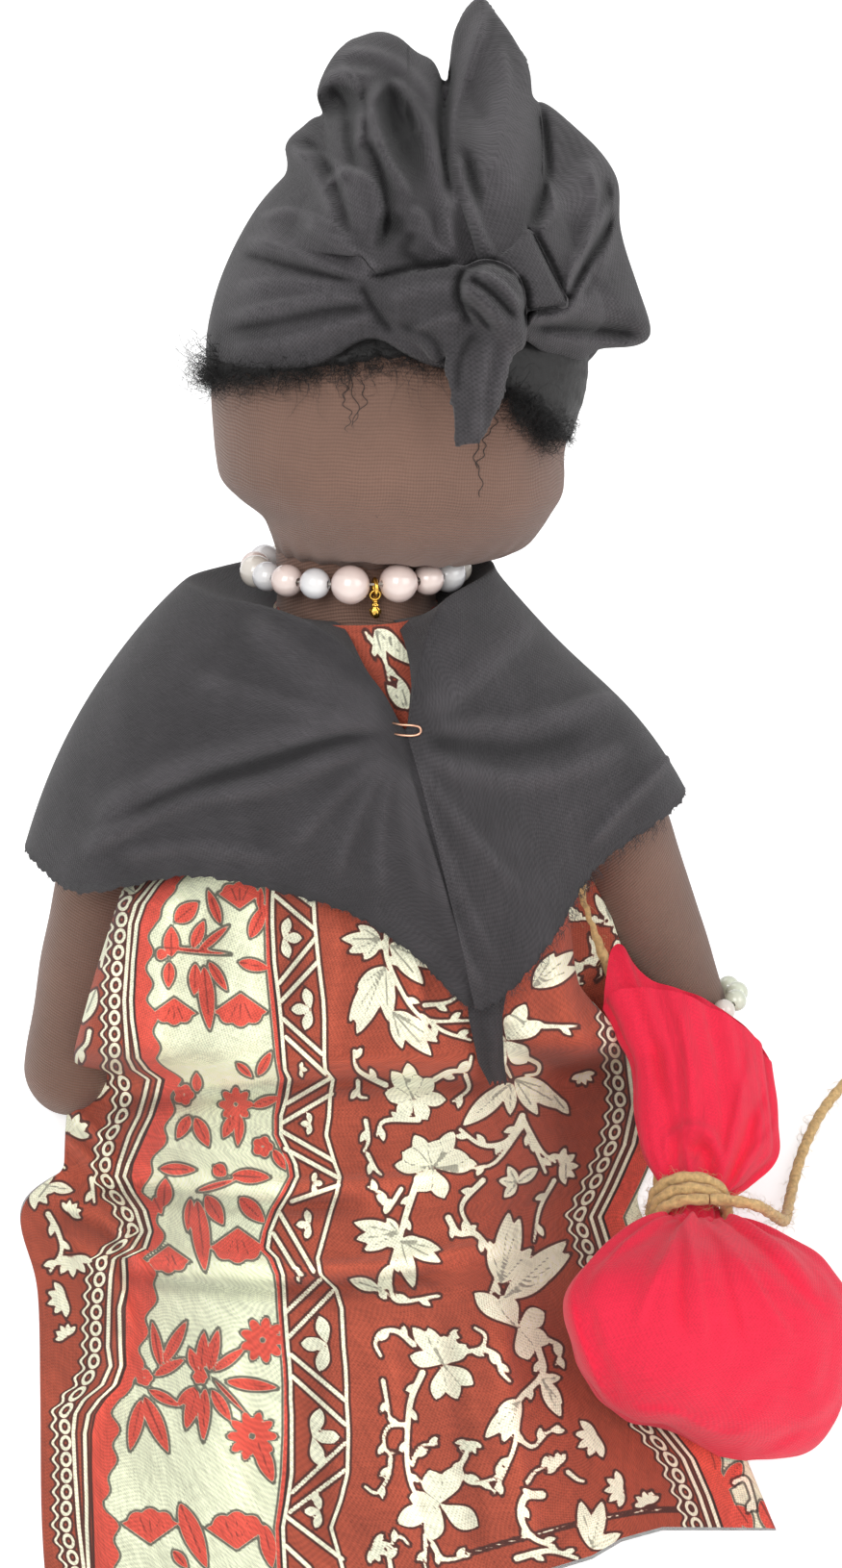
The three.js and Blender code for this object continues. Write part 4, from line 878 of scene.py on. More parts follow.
# centre, half height and the side that the tip looks to
trefoils = [
    (300, 975, 23, 1), (317, 1049, 24, -1), (314, 1112, 9, 1), (320, 1168, 13, -1), (328, 1230, 13, 1),
    (318, 1273, 17, -1), (311, 1325, 9, 1), (332, 1397, 32, -1), (333, 1494, 33, 1), (328, 1571, 20, -1),
]
# from, to and half width of each coral leaf
coral_leaves = [
    (178, 994, 178, 963, 8), (176, 1000, 175, 1027, 6), (200, 985, 212, 957, 6), (229, 960, 216, 925, 5),
    (260, 975, 276, 940, 7), (270, 945, 271, 922, 4), (205, 990, 238, 962, 4), (182, 958, 206, 938, 9),
    (203, 1002, 202, 1035, 6), (212, 1005, 218, 1071, 8), (217, 1000, 236, 1030, 5),
    (248, 1000, 280, 1007, 6), (205, 1135, 204, 1115, 5), (246, 1105, 262, 1120, 4),
    (268, 1118, 282, 1093, 5), (262, 1150, 292, 1140, 5), (197, 1160, 184, 1184, 6),
    (203, 1162, 217, 1192, 7), (243, 1160, 232, 1183, 6), (250, 1160, 247, 1191, 5),
    (284, 1195, 297, 1216, 5), (166, 1215, 204, 1216, 6), (222, 1212, 235, 1222, 7),
    (241, 1222, 281, 1224, 7), (170, 1254, 172, 1225, 8), (205, 1238, 246, 1226, 3),
    (198, 1246, 195, 1280, 5), (205, 1248, 213, 1322, 9), (214, 1243, 232, 1273, 8),
    (249, 1245, 275, 1271, 8), (160, 1245, 168, 1262, 5), (209, 1425, 212, 1384, 6),
    (217, 1425, 227, 1381, 6), (222, 1425, 255, 1401, 5), (235, 1436, 289, 1443, 6),
    (220, 1445, 240, 1477, 6), (213, 1443, 211, 1499, 6), (205, 1445, 193, 1486, 7),
    (203, 1442, 183, 1462, 5), (204, 1425, 197, 1401, 5), (170, 1417, 194, 1373, 6),
    (167, 1420, 158, 1374, 5), (160, 1430, 193, 1412, 5), (147, 1455, 135, 1508, 7),
    (150, 1452, 175, 1510, 8), (155, 1445, 187, 1462, 5), (268, 1500, 284, 1541, 8),
    (187, 1563, 215, 1630, 10), (180, 1612, 195, 1630, 5), (275, 1585, 283, 1630, 8),
    (170, 985, 240, 992, 2), (222, 1434, 255, 1469, 2), (702, 1232, 690, 1262, 7), (715, 1290, 700, 1316, 7),
    (738, 1505, 746, 1535, 8), (770, 1520, 752, 1550, 8), (765, 1565, 782, 1590, 8),
    (790, 1560, 812, 1600, 9), (670, 1150, 690, 1185, 7), (668, 1040, 684, 1072, 6),
]
# centre, radius, petals and how deep they are cut
coral_blooms = [
    (168, 992, 6, 3, 0.2), (245, 1148, 18, 8, 0.4), (191, 1138, 11, 5, 0.25), (273, 1192, 11, 5, 0.25),
    (150, 1432, 9, 5, 0.2), (273, 1393, 24, 9, 0.4), (262, 1493, 26, 10, 0.4), (208, 1431, 8, 6, 0.2),
]
# open flowers like fans: centre, radius, and 1 where they hang or -1 where they stand
coral_fans = [
    (249, 932, 17, -1), (250, 1048, 21, 1), (181, 1050, 17, 1), (247, 1293, 22, 1), (175, 1308, 17, 1),
    (156, 1588, 22, -1), (246, 1593, 24, -1),
]
# cream leaves: the foot, then the tips of its fingers
cream_leaves = [
    [(395, 976), (355, 976), (362, 990), (378, 998), (372, 962)], [(405, 982), (461, 1006), (440, 1023),
    (425, 985)], [(400, 1005), (371, 1027), (363, 1062), (371, 1075), (404, 1062)], [(408, 1052),
    (435, 1065), (455, 1083), (448, 1097), (418, 1090)], [(554, 1026), (576, 991), (596, 989), (600, 1005)],
    [(531, 1126), (504, 1146), (481, 1170), (530, 1159)], [(535, 1122), (573, 1133), (591, 1153),
    (559, 1159)], [(414, 1282), (402, 1266), (368, 1271), (370, 1288), (378, 1300)], [(416, 1290),
    (440, 1290), (458, 1299), (458, 1312), (430, 1339)], [(395, 1340), (363, 1330), (404, 1315),
    (401, 1351)], [(520, 1334), (529, 1260), (540, 1266), (553, 1297), (509, 1290)], [(524, 1349),
    (589, 1290), (593, 1303), (573, 1327)], [(541, 1456), (504, 1495), (522, 1500), (517, 1467)],
    [(563, 1434), (584, 1460), (583, 1473), (583, 1432)], [(615, 1610), (603, 1560), (626, 1560),
    (645, 1594)], [(576, 1140), (591, 1158)], [(100, 1028), (86, 1063)], [(50, 1232), (76, 1238), (30, 1225),
    (36, 1250)], [(537, 1230), (528, 1212), (518, 1227), (524, 1245), (559, 1214)], [(390, 655), (428, 690),
    (415, 668), (399, 686)], [(424, 738), (402, 712), (415, 704)], [(588, 1225), (588, 1203)], [(140, 928),
    (124, 914)],
]
cream_vines = [
    (2.5, [(402, 967), (401, 987), (404, 1002), (415, 1026), (430, 1050), (448, 1061), (488, 1061)]),
    (2, [(439, 1056), (461, 1072), (489, 1081)]), (2, [(441, 1045), (465, 1042), (482, 1031)]),
    (2.5, [(401, 1128), (380, 1118), (370, 1109), (368, 1092)]), (2, [(372, 1124), (373, 1139),
    (381, 1141)]), (2.5, [(452, 1122), (467, 1114), (485, 1112), (490, 1098)]), (2, [(484, 1118),
    (487, 1132), (471, 1145)]), (2.5, [(435, 1164), (400, 1165), (392, 1180)]), (2, [(565, 1067),
    (600, 1067)]), (2, [(525, 1109), (531, 1120)]), (3, [(543, 1160), (530, 1184), (513, 1191), (496, 1188),
    (478, 1174)]), (2, [(543, 1170), (515, 1208), (491, 1214)]), (2.5, [(545, 1166), (555, 1190),
    (567, 1219)]), (2, [(547, 1170), (563, 1197), (577, 1208)]), (2, [(576, 1227), (561, 1256),
    (555, 1290)]), (3, [(432, 1232), (424, 1256), (418, 1277), (412, 1299), (406, 1321), (406, 1340),
    (415, 1353), (456, 1347)]), (2, [(417, 1236), (401, 1260), (400, 1243), (383, 1234)]),
    (2.5, [(502, 1227), (483, 1247), (480, 1260), (488, 1275)]), (3, [(466, 1266), (476, 1282), (493, 1282),
    (506, 1295), (517, 1308), (518, 1321), (510, 1345)]), (2, [(380, 1165), (383, 1185), (378, 1197)]),
    (2, [(382, 1200), (390, 1215), (396, 1221)]), (2.5, [(430, 1398), (413, 1384), (396, 1385), (390, 1397),
    (396, 1410)]), (2, [(481, 1406), (500, 1401), (504, 1388), (493, 1380)]), (2.5, [(502, 1402),
    (517, 1410), (520, 1425), (530, 1436)]), (3, [(559, 1401), (564, 1428), (539, 1456), (538, 1476),
    (535, 1502), (524, 1530), (513, 1552)]), (2, [(570, 1393), (583, 1401), (578, 1419)]), (3, [(439, 1427),
    (428, 1452), (424, 1478), (423, 1519), (428, 1545), (436, 1558)]), (2, [(422, 1481), (406, 1482),
    (399, 1493), (401, 1508), (410, 1510)]), (2, [(406, 1515), (403, 1536), (391, 1552), (379, 1545)]),
    (2, [(398, 1435), (406, 1478)]), (2, [(428, 1523), (437, 1504), (454, 1502)]), (2.5, [(484, 1513),
    (478, 1528), (489, 1541), (509, 1539), (524, 1528)]), (2, [(541, 1497), (554, 1504), (567, 1491),
    (580, 1482)]), (2, [(548, 1541), (556, 1530), (572, 1521)]), (4, [(563, 1554), (546, 1556), (541, 1576),
    (552, 1597), (576, 1608)]), (2, [(442, 1595), (442, 1630)]), (2, [(406, 1630), (404, 1610), (415, 1597),
    (425, 1606)]), (2.5, [(450, 1606), (461, 1621), (487, 1617)]), (2, [(590, 1530), (600, 1538),
    (607, 1540)]), (3, [(537, 1620), (570, 1612), (600, 1620)]), (2, [(550, 1101), (560, 1107), (558, 1116),
    (546, 1118)]), (2, [(110, 977), (105, 1005)]), (2, [(93, 1072), (90, 1085), (80, 1097), (80, 1118)]),
    (3, [(88, 1124), (99, 1140), (112, 1130)]), (2, [(50, 1214), (57, 1208), (67, 1214)]), (2, [(95, 1225),
    (98, 1250)]), (2.5, [(50, 1262), (60, 1280), (64, 1300), (52, 1322)]), (2, [(380, 659), (398, 680),
    (405, 710)]), (2, [(763, 1541), (774, 1537), (780, 1550), (785, 1569)]),
]
# cream flowers: the heart, then the middle and radius of each petal
cream_flowers = [
    [(430, 1142), (430, 1128, 12), (412, 1120, 8), (425, 1113, 8), (409, 1138, 9), (420, 1154, 9),
    (439, 1156, 9), (455, 1143, 8), (444, 1128, 9)], [(526, 1082), (506, 1072, 15), (514, 1106, 12),
    (534, 1066, 13), (539, 1096, 12), (542, 1052, 9), (556, 1067, 9)], [(450, 1214), (430, 1204, 13),
    (453, 1198, 13), (474, 1206, 13), (486, 1210, 9), (435, 1188, 9), (467, 1184, 9), (418, 1212, 8),
    (441, 1228, 12), (458, 1236, 10)], [(538, 1380), (502, 1351, 11), (527, 1358, 12), (555, 1370, 12),
    (546, 1403, 11), (561, 1392, 10)], [(461, 1418), (461, 1402, 13), (434, 1386, 8), (448, 1388, 8),
    (435, 1412, 9), (455, 1446, 9), (472, 1446, 9), (484, 1434, 9), (478, 1404, 9)], [(457, 1564),
    (450, 1541, 13), (470, 1536, 12), (424, 1578, 12), (450, 1591, 11), (485, 1580, 13), (434, 1558, 9)],
]
# small half-open cream flowers: centre and radius
half_open_flowers = [
    (587, 1212, 12), (606, 1119, 8), (615, 1496, 14), (578, 1521, 9), (75, 1172, 13), (40, 1235, 14),
    (75, 1312, 13), (63, 1351, 12), (68, 1386, 8), (74, 1258, 8), (391, 1610, 11), (487, 1502, 9),
    (642, 1548, 12), (672, 1560, 9), (530, 1004, 9), (468, 1392, 8),
]
hem_stitches = [(480, 1617), (539, 1600), (600, 1584), (667, 1571), (714, 1569)]
link_length = 17


def leaf(x, y, course, size):
    """How far inside a leaf a place is, in pixels: it is pointed at both ends. Its size is its half width
    and a power: below one it is widest nearer its foot, above one nearer its tip."""
    half, power = size
    (foot_x, foot_y), (tip_x, tip_y) = course
    length = math.hypot(tip_x - foot_x, tip_y - foot_y)
    way_x, way_y = (tip_x - foot_x) / length, (tip_y - foot_y) / length
    along = ((x - foot_x) * way_x + (y - foot_y) * way_y) / length
    within = np.clip(along, 0, 1)
    aside = (y - foot_y) * way_x - (x - foot_x) * way_y
    return half * np.sin(math.pi * within ** power) ** 0.8 - np.hypot(aside, (along - within) * length)


def stroke(x, y, course, half):
    """How far inside a bent stroke a place is: its half width less the distance to its middle line. A pair
    is its half width at the start and at the end."""
    route = through(course, np.linspace(0, len(course) - 1, 4 * len(course) - 3))
    halves = np.linspace(*np.broadcast_to(half, 2), len(route))
    inside = np.full(x.shape, -1e3)
    for start, step, wide, change in zip(route[:-1], np.diff(route, axis=0), halves, np.diff(halves)):
        share = np.clip(((x - start[0]) * step[0] + (y - start[1]) * step[1]) / (step @ step), 0, 1)
        away = np.hypot(x - start[0] - share * step[0], y - start[1] - share * step[1])
        inside = np.maximum(inside, wide + change * share - away)
    return inside


def bloom(x, y, course, shape):
    """How far inside a flower a place is: a disc whose edge is scalloped by its petals, with a small open
    heart."""
    radius, petals, cut = shape
    beside, below = x - course[0][0], y - course[0][1]
    away = np.hypot(beside, below)
    scallop = np.abs(np.cos(petals * np.arctan2(below, beside) / 2))
    return np.minimum(radius * (1 - cut + cut * scallop) - away, away - 0.14 * radius)


def fan(x, y, course, shape):
    """How far inside a fan-shaped flower a place is: a sector from its neck, with a scalloped far edge."""
    radius, way = shape
    beside, ahead = x - course[0][0], (y - course[0][1]) * way + 0.75 * radius
    away, turn = np.hypot(beside, ahead), np.abs(np.arctan2(beside, ahead))
    return np.minimum(radius * (1.5 + 0.16 * np.abs(np.cos(6 * turn))) - away, away * np.sin(0.95 - turn))


def stamp(field, x, y, shape, course, size, reach):
    """Joins one motif to an ink's field, within its own surroundings."""
    course = np.array(course, float)
    low, high = course.min(0) - reach, course.max(0) + reach
    near = (x > low[0]) & (x < high[0]) & (y > low[1]) & (y < high[1])
    if near.any():
        field[near] = np.maximum(field[near], shape(x[near], y[near], course, size))


def band_lines(y):
    """Where the bands stand at each height: the columns of their table, then the far chain."""
    return [np.interp(y, bands[:, 0], bands[:, column]) for column in range(1, 9)] + [
        np.interp(y, far_chain[:, 0], far_chain[:, 1])]


def print_inks(x, y):
    """How far inside each ink a place of the picture is, in pixels: cream, coral, pale ground and dark
    line."""
    _, _, _, coral_from, coral_to, thin, _, _, far = band_lines(y)
    cream, coral, dark = (np.full(x.shape, -9.0) for _ in range(3))
    scalloped = coral_to + 3.5 * np.cos(y * 2 * math.pi / 33)
    pale = np.minimum(x - scalloped, thin - x)
    coral = np.maximum(coral, np.minimum(x - coral_from, scalloped - x))
    coral = np.maximum(coral, np.minimum(x - far - 27, far + 46 - x))
    pale = np.maximum(pale, np.minimum(x - far - 46, far + 92 - x))
    for x0, y0, x1, y1 in zigzags:
        stamp(cream, x, y, stroke, [(x0, y0), (x1, y1)], 2.1, 6)
    for centre_x, centre_y, half, side in trefoils:
        foot = (centre_x - side * half * 0.25, centre_y)
        stamp(cream, x, y, leaf, [foot, (centre_x + side * half * 0.6, centre_y)], (half * 0.24, 1.3), 8)
        for away in (-0.9, 0.9):
            stamp(cream, x, y, leaf, [foot, (centre_x, centre_y + away * half)], (half * 0.22, 1.3), 8)
    for x0, y0, x1, y1, half in coral_leaves:
        stamp(coral, x, y, leaf, [(x0, y0), (x1, y1)], (half, 0.85), 12)
        stamp(dark, x, y, stroke, [(x0, y0), (x0 + (x1 - x0) * 0.75, y0 + (y1 - y0) * 0.75)], 1.0, 6)
    for centre_x, centre_y, radius, petals, cut in coral_blooms:
        stamp(coral, x, y, bloom, [(centre_x, centre_y)], (radius, petals, cut), 30)
    for centre_x, centre_y, radius, way in coral_fans:
        stamp(coral, x, y, fan, [(centre_x, centre_y)], (radius, way), 40)
        for lean_out in (-0.5, 0, 0.5):
            stamp(dark, x, y, stroke, [(centre_x + lean_out * radius * 0.4, centre_y - way * 0.2 * radius),
                                       (centre_x + lean_out * radius, centre_y + way * 0.5 * radius)], 0.9, 6)
    for foot, *tips in cream_leaves:
        for tip in tips:
            reach = math.dist(foot, tip)
            stamp(cream, x, y, leaf, [foot, tip], (3 + 0.1 * reach, 0.95), 14)
            vein = [foot[0] + (tip[0] - foot[0]) * 0.7, foot[1] + (tip[1] - foot[1]) * 0.7]
            stamp(dark, x, y, stroke, [foot, vein], 1.0, 6)
    for half, course in cream_vines:
        stamp(cream, x, y, stroke, course, (half + 0.3, 0.45 * half + 0.3), 8)
        for number, (start, end) in enumerate(zip(course[:-1], course[1:])):
            length, side = math.dist(start, end), (-1) ** number
            way = ((end[0] - start[0]) / length, (end[1] - start[1]) / length)
            foot = ((start[0] + end[0]) / 2, (start[1] + end[1]) / 2)
            tip = (foot[0] + 11 * way[0] - 9 * side * way[1], foot[1] + 11 * way[1] + 9 * side * way[0])
            if length > 15:
                stamp(cream, x, y, leaf, [foot, tip], (3.2, 0.9), 5)
    nearest, behind = np.full(x.shape, -9.0), np.full(x.shape, -9.0)
    for heart, *petals in cream_flowers:
        for middle_x, middle_y, radius in petals:
            petal = np.full(x.shape, -9.0)
            reach = 1 + radius / math.dist(heart, (middle_x, middle_y))
            tip = (heart[0] + (middle_x - heart[0]) * reach, heart[1] + (middle_y - heart[1]) * reach)
            stamp(petal, x, y, leaf, [heart, tip], (radius * 0.92, 1.5), 22)
            nearest, behind = np.maximum(nearest, petal), np.maximum(behind, np.minimum(nearest, petal))
    cream = np.maximum(cream, nearest)
    dark = np.maximum(dark, np.where(behind > -1, 1.2 - (nearest - behind) / 1.4, -9))
    for number, (centre_x, centre_y, radius) in enumerate(half_open_flowers):
        facing = 1.3 * number
        foot = (centre_x - 0.5 * radius * math.cos(facing), centre_y - 0.5 * radius * math.sin(facing))
        for petal in range(5):
            angle = facing + 0.62 * (petal - 2)
            tip = (foot[0] + 1.7 * radius * math.cos(angle), foot[1] + 1.7 * radius * math.sin(angle))
            stamp(cream, x, y, leaf, [foot, tip], (0.3 * radius, 1.3), 10)
    for share in np.linspace(0, 4, 40):
        start, end = through(hem_stitches, np.array([share, share + 0.05]))
        stamp(cream, x, y, stroke, [start, end], 0.8, 5)
    return cream, coral, pale, dark


def to_and_fro(value, reach):
    """A value that runs up to the reach and back again, over and over."""
    return reach - np.abs(value % (2 * reach) - reach)


def lay_print(made, x, y):
    """Keeps at each point how far it is inside each ink, in quarters of a pixel's width, and its distances
    from the bands' lines and chains, for the print to read."""
    cream, coral, pale, dark = (np.clip(ink / 4, -1, 1) for ink in print_inks(x, y))
    chain, first, second, _, _, thin, near_line, far_line, far = band_lines(y)
    store(made, "inks", cream, coral, pale)
    store(made, "chain_places", x - chain, x - far, y - bands[0, 0])
    store(made, "line_places", x - first, x - second, x - thin)
    store(made, "edge_places", x - near_line, x - far_line, np.zeros(x.shape))
    store(made, "dark_ink", dark)


def lay_fold_shade(made, relief):
    """Keeps how high each point stands on its fold, from -1 in a groove to 1 on a ridge. The materials darken
    the grooves and lighten the ridges by it: painted shade and painted light."""
    store(made, "fold", np.tanh(relief / (1.4 * mm)))


printed, printed_tree, printed_shader = new_material("block-printed cotton", 0.85, sheen=0.1)


def print_places(label):
    """The three numbers that the print keeps under this name."""
    return put(printed_tree, "ShaderNodeSeparateXYZ", {0: kept(printed_tree, label)["Vector"]}).outputs


def reckoned(operation, *values):
    """One step of the print's arithmetic."""
    return calc(printed_tree, operation, *values)


def line_ink(distance, half):
    """How far inside a straight line of ink a place is: its half width less its distance, in quarter
    pixels."""
    return reckoned("MULTIPLY", reckoned("SUBTRACT", half, reckoned("ABSOLUTE", distance)), 0.25)


def oval(distance, row, half, long_half, steep):
    """How far inside an oval a place is: one less its distance by the oval's half sizes."""
    squares = [reckoned("POWER", reckoned("DIVIDE", reckoned("ABSOLUTE", way), size), 2.0)
               for way, size in ((distance, half), (row, long_half))]
    away = reckoned("SQRT", reckoned("ADD", *squares))
    return reckoned("MULTIPLY", reckoned("SUBTRACT", 1.0, away), steep)


def chain_ink(distance, row):
    """A chain of oval links, each with an open middle, and a wavy line beside it."""
    row = reckoned("WRAP", row, link_length / 2, -link_length / 2)
    ring = reckoned("MINIMUM", oval(distance, row, 6.0, 8.0, 1.75), oval(distance, row, 3.2, 4.5, -0.95))
    sway = reckoned("MULTIPLY", reckoned("COSINE", reckoned("MULTIPLY", row, 2 * math.pi / link_length)), 2.5)
    wave = line_ink(reckoned("ADD", reckoned("ADD", distance, 11.0), sway), 1.3)
    return reckoned("MAXIMUM", ring, wave)


def most(values):
    """The largest of several values."""
    largest = values[0]
    for value in values[1:]:
        largest = reckoned("MAXIMUM", largest, value)
    return largest


def covered(value, start, end):
    """The share covered by an ink: 0 below the start, 1 above the end."""
    return put(printed_tree, "ShaderNodeMapRange", {0: value, 1: start, 2: end},
               interpolation_type="SMOOTHSTEP").outputs[0]


def inked_to_edge(value):
    """The share covered by an ink up to its own edge, which is a little soft."""
    return covered(value, -0.12, 0.12)


def rimmed(value):
    """The dark outline that was printed round a shape."""
    rim = reckoned("SUBTRACT", covered(value, -0.85, -0.5), covered(value, -0.15, 0.05))
    return reckoned("MULTIPLY", rim, 0.85)


rust, pale_ground, dark_line = colour(168, 76, 54), colour(236, 240, 208), colour(44, 34, 32)
cream, coral_ink = colour(250, 250, 222), colour(222, 86, 70)
inks, chain_places, line_places, edge_places = map(
    print_places, ("inks", "chain_places", "line_places", "edge_places"))
dark_ink = kept(printed_tree, "dark_ink")["Fac"]
near_chain, far_chain_place, chain_row = chain_places
straight_lines = [*line_places[:2], *edge_places[:2], reckoned("SUBTRACT", far_chain_place, 13.0),
                  reckoned("SUBTRACT", far_chain_place, 22.0)]
cream_value = most([inks[0], chain_ink(near_chain, chain_row), chain_ink(far_chain_place, chain_row),
                    *(line_ink(distance, 1.8) for distance in straight_lines)])
coral_value = most([inks[1], line_ink(line_places[2], 2.0)])
inked = mix(printed_tree, inked_to_edge(inks[2]), rust, pale_ground)
for value, ink in ((coral_value, coral_ink), (cream_value, cream)):
    inked = mix(printed_tree, rimmed(value), inked, dark_line)
    inked = mix(printed_tree, inked_to_edge(value), inked, ink)
inked = mix(printed_tree, reckoned("MULTIPLY", inked_to_edge(dark_ink), 0.6), inked, dark_line)
# the print is darkened in its folds' grooves and lightened on their ridges: painted shade and painted light;
# the mottling after it is uneven dye
printed_fold = kept(printed_tree, "fold")["Fac"]
shaded = scaled(printed_tree, inked, reckoned("MULTIPLY_ADD", printed_fold, 0.28, 1.0))
worn_and_fold_shaded = group_node(printed_tree, mottle, {0: cloth_place(printed_tree), 1: 220.0, 2: shaded, 3: 0.26})
printed_tone = group_node(printed_tree, weave, {0: cloth_place(printed_tree), 1: 0.45 * mm,
                                                2: worn_and_fold_shaded.outputs[0], 3: 0.4})
printed_tree.links.new(printed_tone.outputs[0], printed_shader.inputs["Base Color"])
bumped(printed_tree, printed_shader, printed_tone.outputs[1], 0.12 * mm)

# past the edges that the camera sees, the print goes on by the cloth's own length
print_scale = 4400
seen_x, seen_y = pixel_of(front_grid)
cloth_across = lengths_along(front_grid, 1) * print_scale
for edge, sign in ((np.argmin(seen_x, 1)[:, None], -1), (np.argmax(seen_x, 1)[:, None], 1)):
    past = (np.arange(front_columns)[None] - edge) * sign > 0
    at_edge = [np.take_along_axis(values, edge, 1) for values in (seen_x, seen_y, cloth_across)]
    seen_x = np.where(past, at_edge[0] + cloth_across - at_edge[2], seen_x)
    seen_y = np.where(past, at_edge[1], seen_y)
front_relief = 1.4 * creases(front_grid, dress_creases) + 0.7 * mm * lumps(front_grid, 17 * mm, 31)
front_folds = np.clip(front_relief, -2.5 * mm, 5 * mm)
front_folds *= ease(front_grid[..., 2], 0.5 * mm, 5 * mm)
front_grid = front_grid + toward_camera(front_grid) * front_folds[..., None]

dress_front = cloth_surface("dress_front", front_grid, outward=on_body(0.0, 60 * mm, 0.0))
lay_print(dress_front, seen_x.ravel(), seen_y.ravel())
# the folds' heights, for painted shade in the grooves and painted light on the ridges
lay_fold_shade(dress_front, front_relief)
dress_back = cloth_surface("dress_back", back_grid, outward=on_body(0.0, 60 * mm, 10 * mm))
lay_print(dress_back, 119 + to_and_fro(lengths_along(back_grid, 1) * print_scale, 520).ravel(),
          1345 + to_and_fro(lengths_along(back_grid, 0) * print_scale, 260).ravel())
# the back's soft lumps get the same painted shade and painted light
lay_fold_shade(dress_back, 0.7 * mm * lumps(back_grid, 17 * mm, 32))


for panel, grid in ((dress_front, front_grid), (dress_back, back_grid)):
    panel.data.materials.append(printed)
    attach(panel, "root")
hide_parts("dress")
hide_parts("dress")

# The shawl is one piece of black cotton, cut with scissors and left unhemmed, so that its edges fray.
# It goes round the shoulders, the panel of the doll's left side lies over the other, and a pin holds them.
shawl_half, shawl_neck_radius, shawl_neck_height = 78 * mm, 31 * mm, 150 * mm
# both lines run from the tip round the doll's left shoulder and the back: x, along the spine, forward, in
# shares
shawl_neckline = np.array([
    [0.37, 0.81, 1.06], [0.45, 0.893, 1], [0.62, 0.98, 0.73], [1, 1.007, 0.07], [0.87, 1.013, -0.47],
    [0.47, 1.013, -0.87], [0, 1.007, -1], [-0.5, 1, -0.9], [-1.0, 0.992, -0.5], [-1.24, 0.988, 0],
    [-1.0, 0.985, 0.47], [-0.5, 0.972, 0.80], [-0.1, 0.935, 0.94], [0.2, 0.867, 1.02],
]) * [shawl_neck_radius, shawl_neck_height, shawl_neck_radius]
shawl_hem = np.array([
    [0.35, 0.39, 1.18], [0.55, 0.49, 1.03], [0.73, 0.59, 0.6], [0.985, 0.645, 0], [0.9, 0.62, -0.7],
    [0.46, 0.56, -1.16], [0, 0.53, -1.24], [-0.46, 0.53, -1.16], [-0.94, 0.54, -0.74], [-1.0, 0.55, 0],
    [-0.8, 0.535, 0.66], [-0.45, 0.587, 1.06], [-0.1, 0.56, 1.2], [0.15, 0.487, 1.22],
]) * [shawl_half, shawl_neck_height, shawl_neck_radius]
shawl_swells = np.array([1.5, 1.5, 1, -3.5, 1, 4.5, 3, 5, 7, 3, 4, 3.5, 2, 1.5]) * mm
shawl_low_swells = np.array([0, 0, 2, 4.5, 2, 0, 0, 0, 1, 3, 2, 0, 0, 0]) * mm
collar_radius, collar_height, collar_share = 17.2 * mm, 142 * mm, 0.18
shawl_ripple, shawl_folds = 0.9 * mm, 9
shawl_marks, opening_mark = len(shawl_neckline), 13.4


def shawl_surface(turn, down_cloth):
    """The shawl's outside by its turn round the neck, from the tip, and its way down from the neckline to
    the hem. It goes straight from the neckline to the hem, with a swell over the arms and ripples that grow
    downwards. Near the front opening the upper panel is lifted off the lower one. Above the neckline, below
    zero, the cloth goes on inwards and down to the neck, under the pearls, but not at the front opening."""
    turn, down_cloth = np.broadcast_arrays(turn, down_cloth)
    collar = np.clip(-down_cloth / collar_share, 0, 1)
    down_cloth = np.clip(down_cloth, 0, 1)
    mark = turn * shawl_marks
    neck_place = through(shawl_neckline, mark, closed=True)
    from_opening = np.abs((mark - opening_mark + shawl_marks / 2) % shawl_marks - shawl_marks / 2)
    rising = 0.1 + 0.9 * ease(neck_place[..., 1], 128 * mm, 141 * mm)
    inward = collar * rising * ease(from_opening, 0.6, 2.0)
    out = np.hypot(neck_place[..., 0], neck_place[..., 2])
    shrunk = 1 + (collar_radius / out - 1) * inward
    neck = on_body(neck_place[..., 0] * shrunk,
                   collar_height + (neck_place[..., 1] - collar_height) * (1 - inward) ** 1.6,
                   neck_place[..., 2] * shrunk)
    hem = on_body(*np.moveaxis(through(shawl_hem, mark, closed=True), -1, 0))
    both = neck + hem
    outward = unit(both[..., :1] * across + 2 * (both @ front)[..., None] * front)
    high_swell, low_swell = (through(table, mark, closed=True)[..., 0]
                             for table in (shawl_swells, shawl_low_swells))
    swell = high_swell * np.sin(math.pi * down_cloth ** 0.7) + low_swell * np.sin(math.pi * down_cloth ** 1.6)
    ripple = shawl_ripple * down_cloth * (1 - np.cos(2 * math.pi * shawl_folds * turn))
    lifted = 1.3 * mm * (1 - ease(turn, 0.0, 0.2)) * ease(down_cloth, -0.1, 0.1)
    return (neck + (hem - neck) * down_cloth[..., None] + outward * (swell * 0.8 + ripple + lifted)[..., None]
            + spine * (swell * 0.6)[..., None])


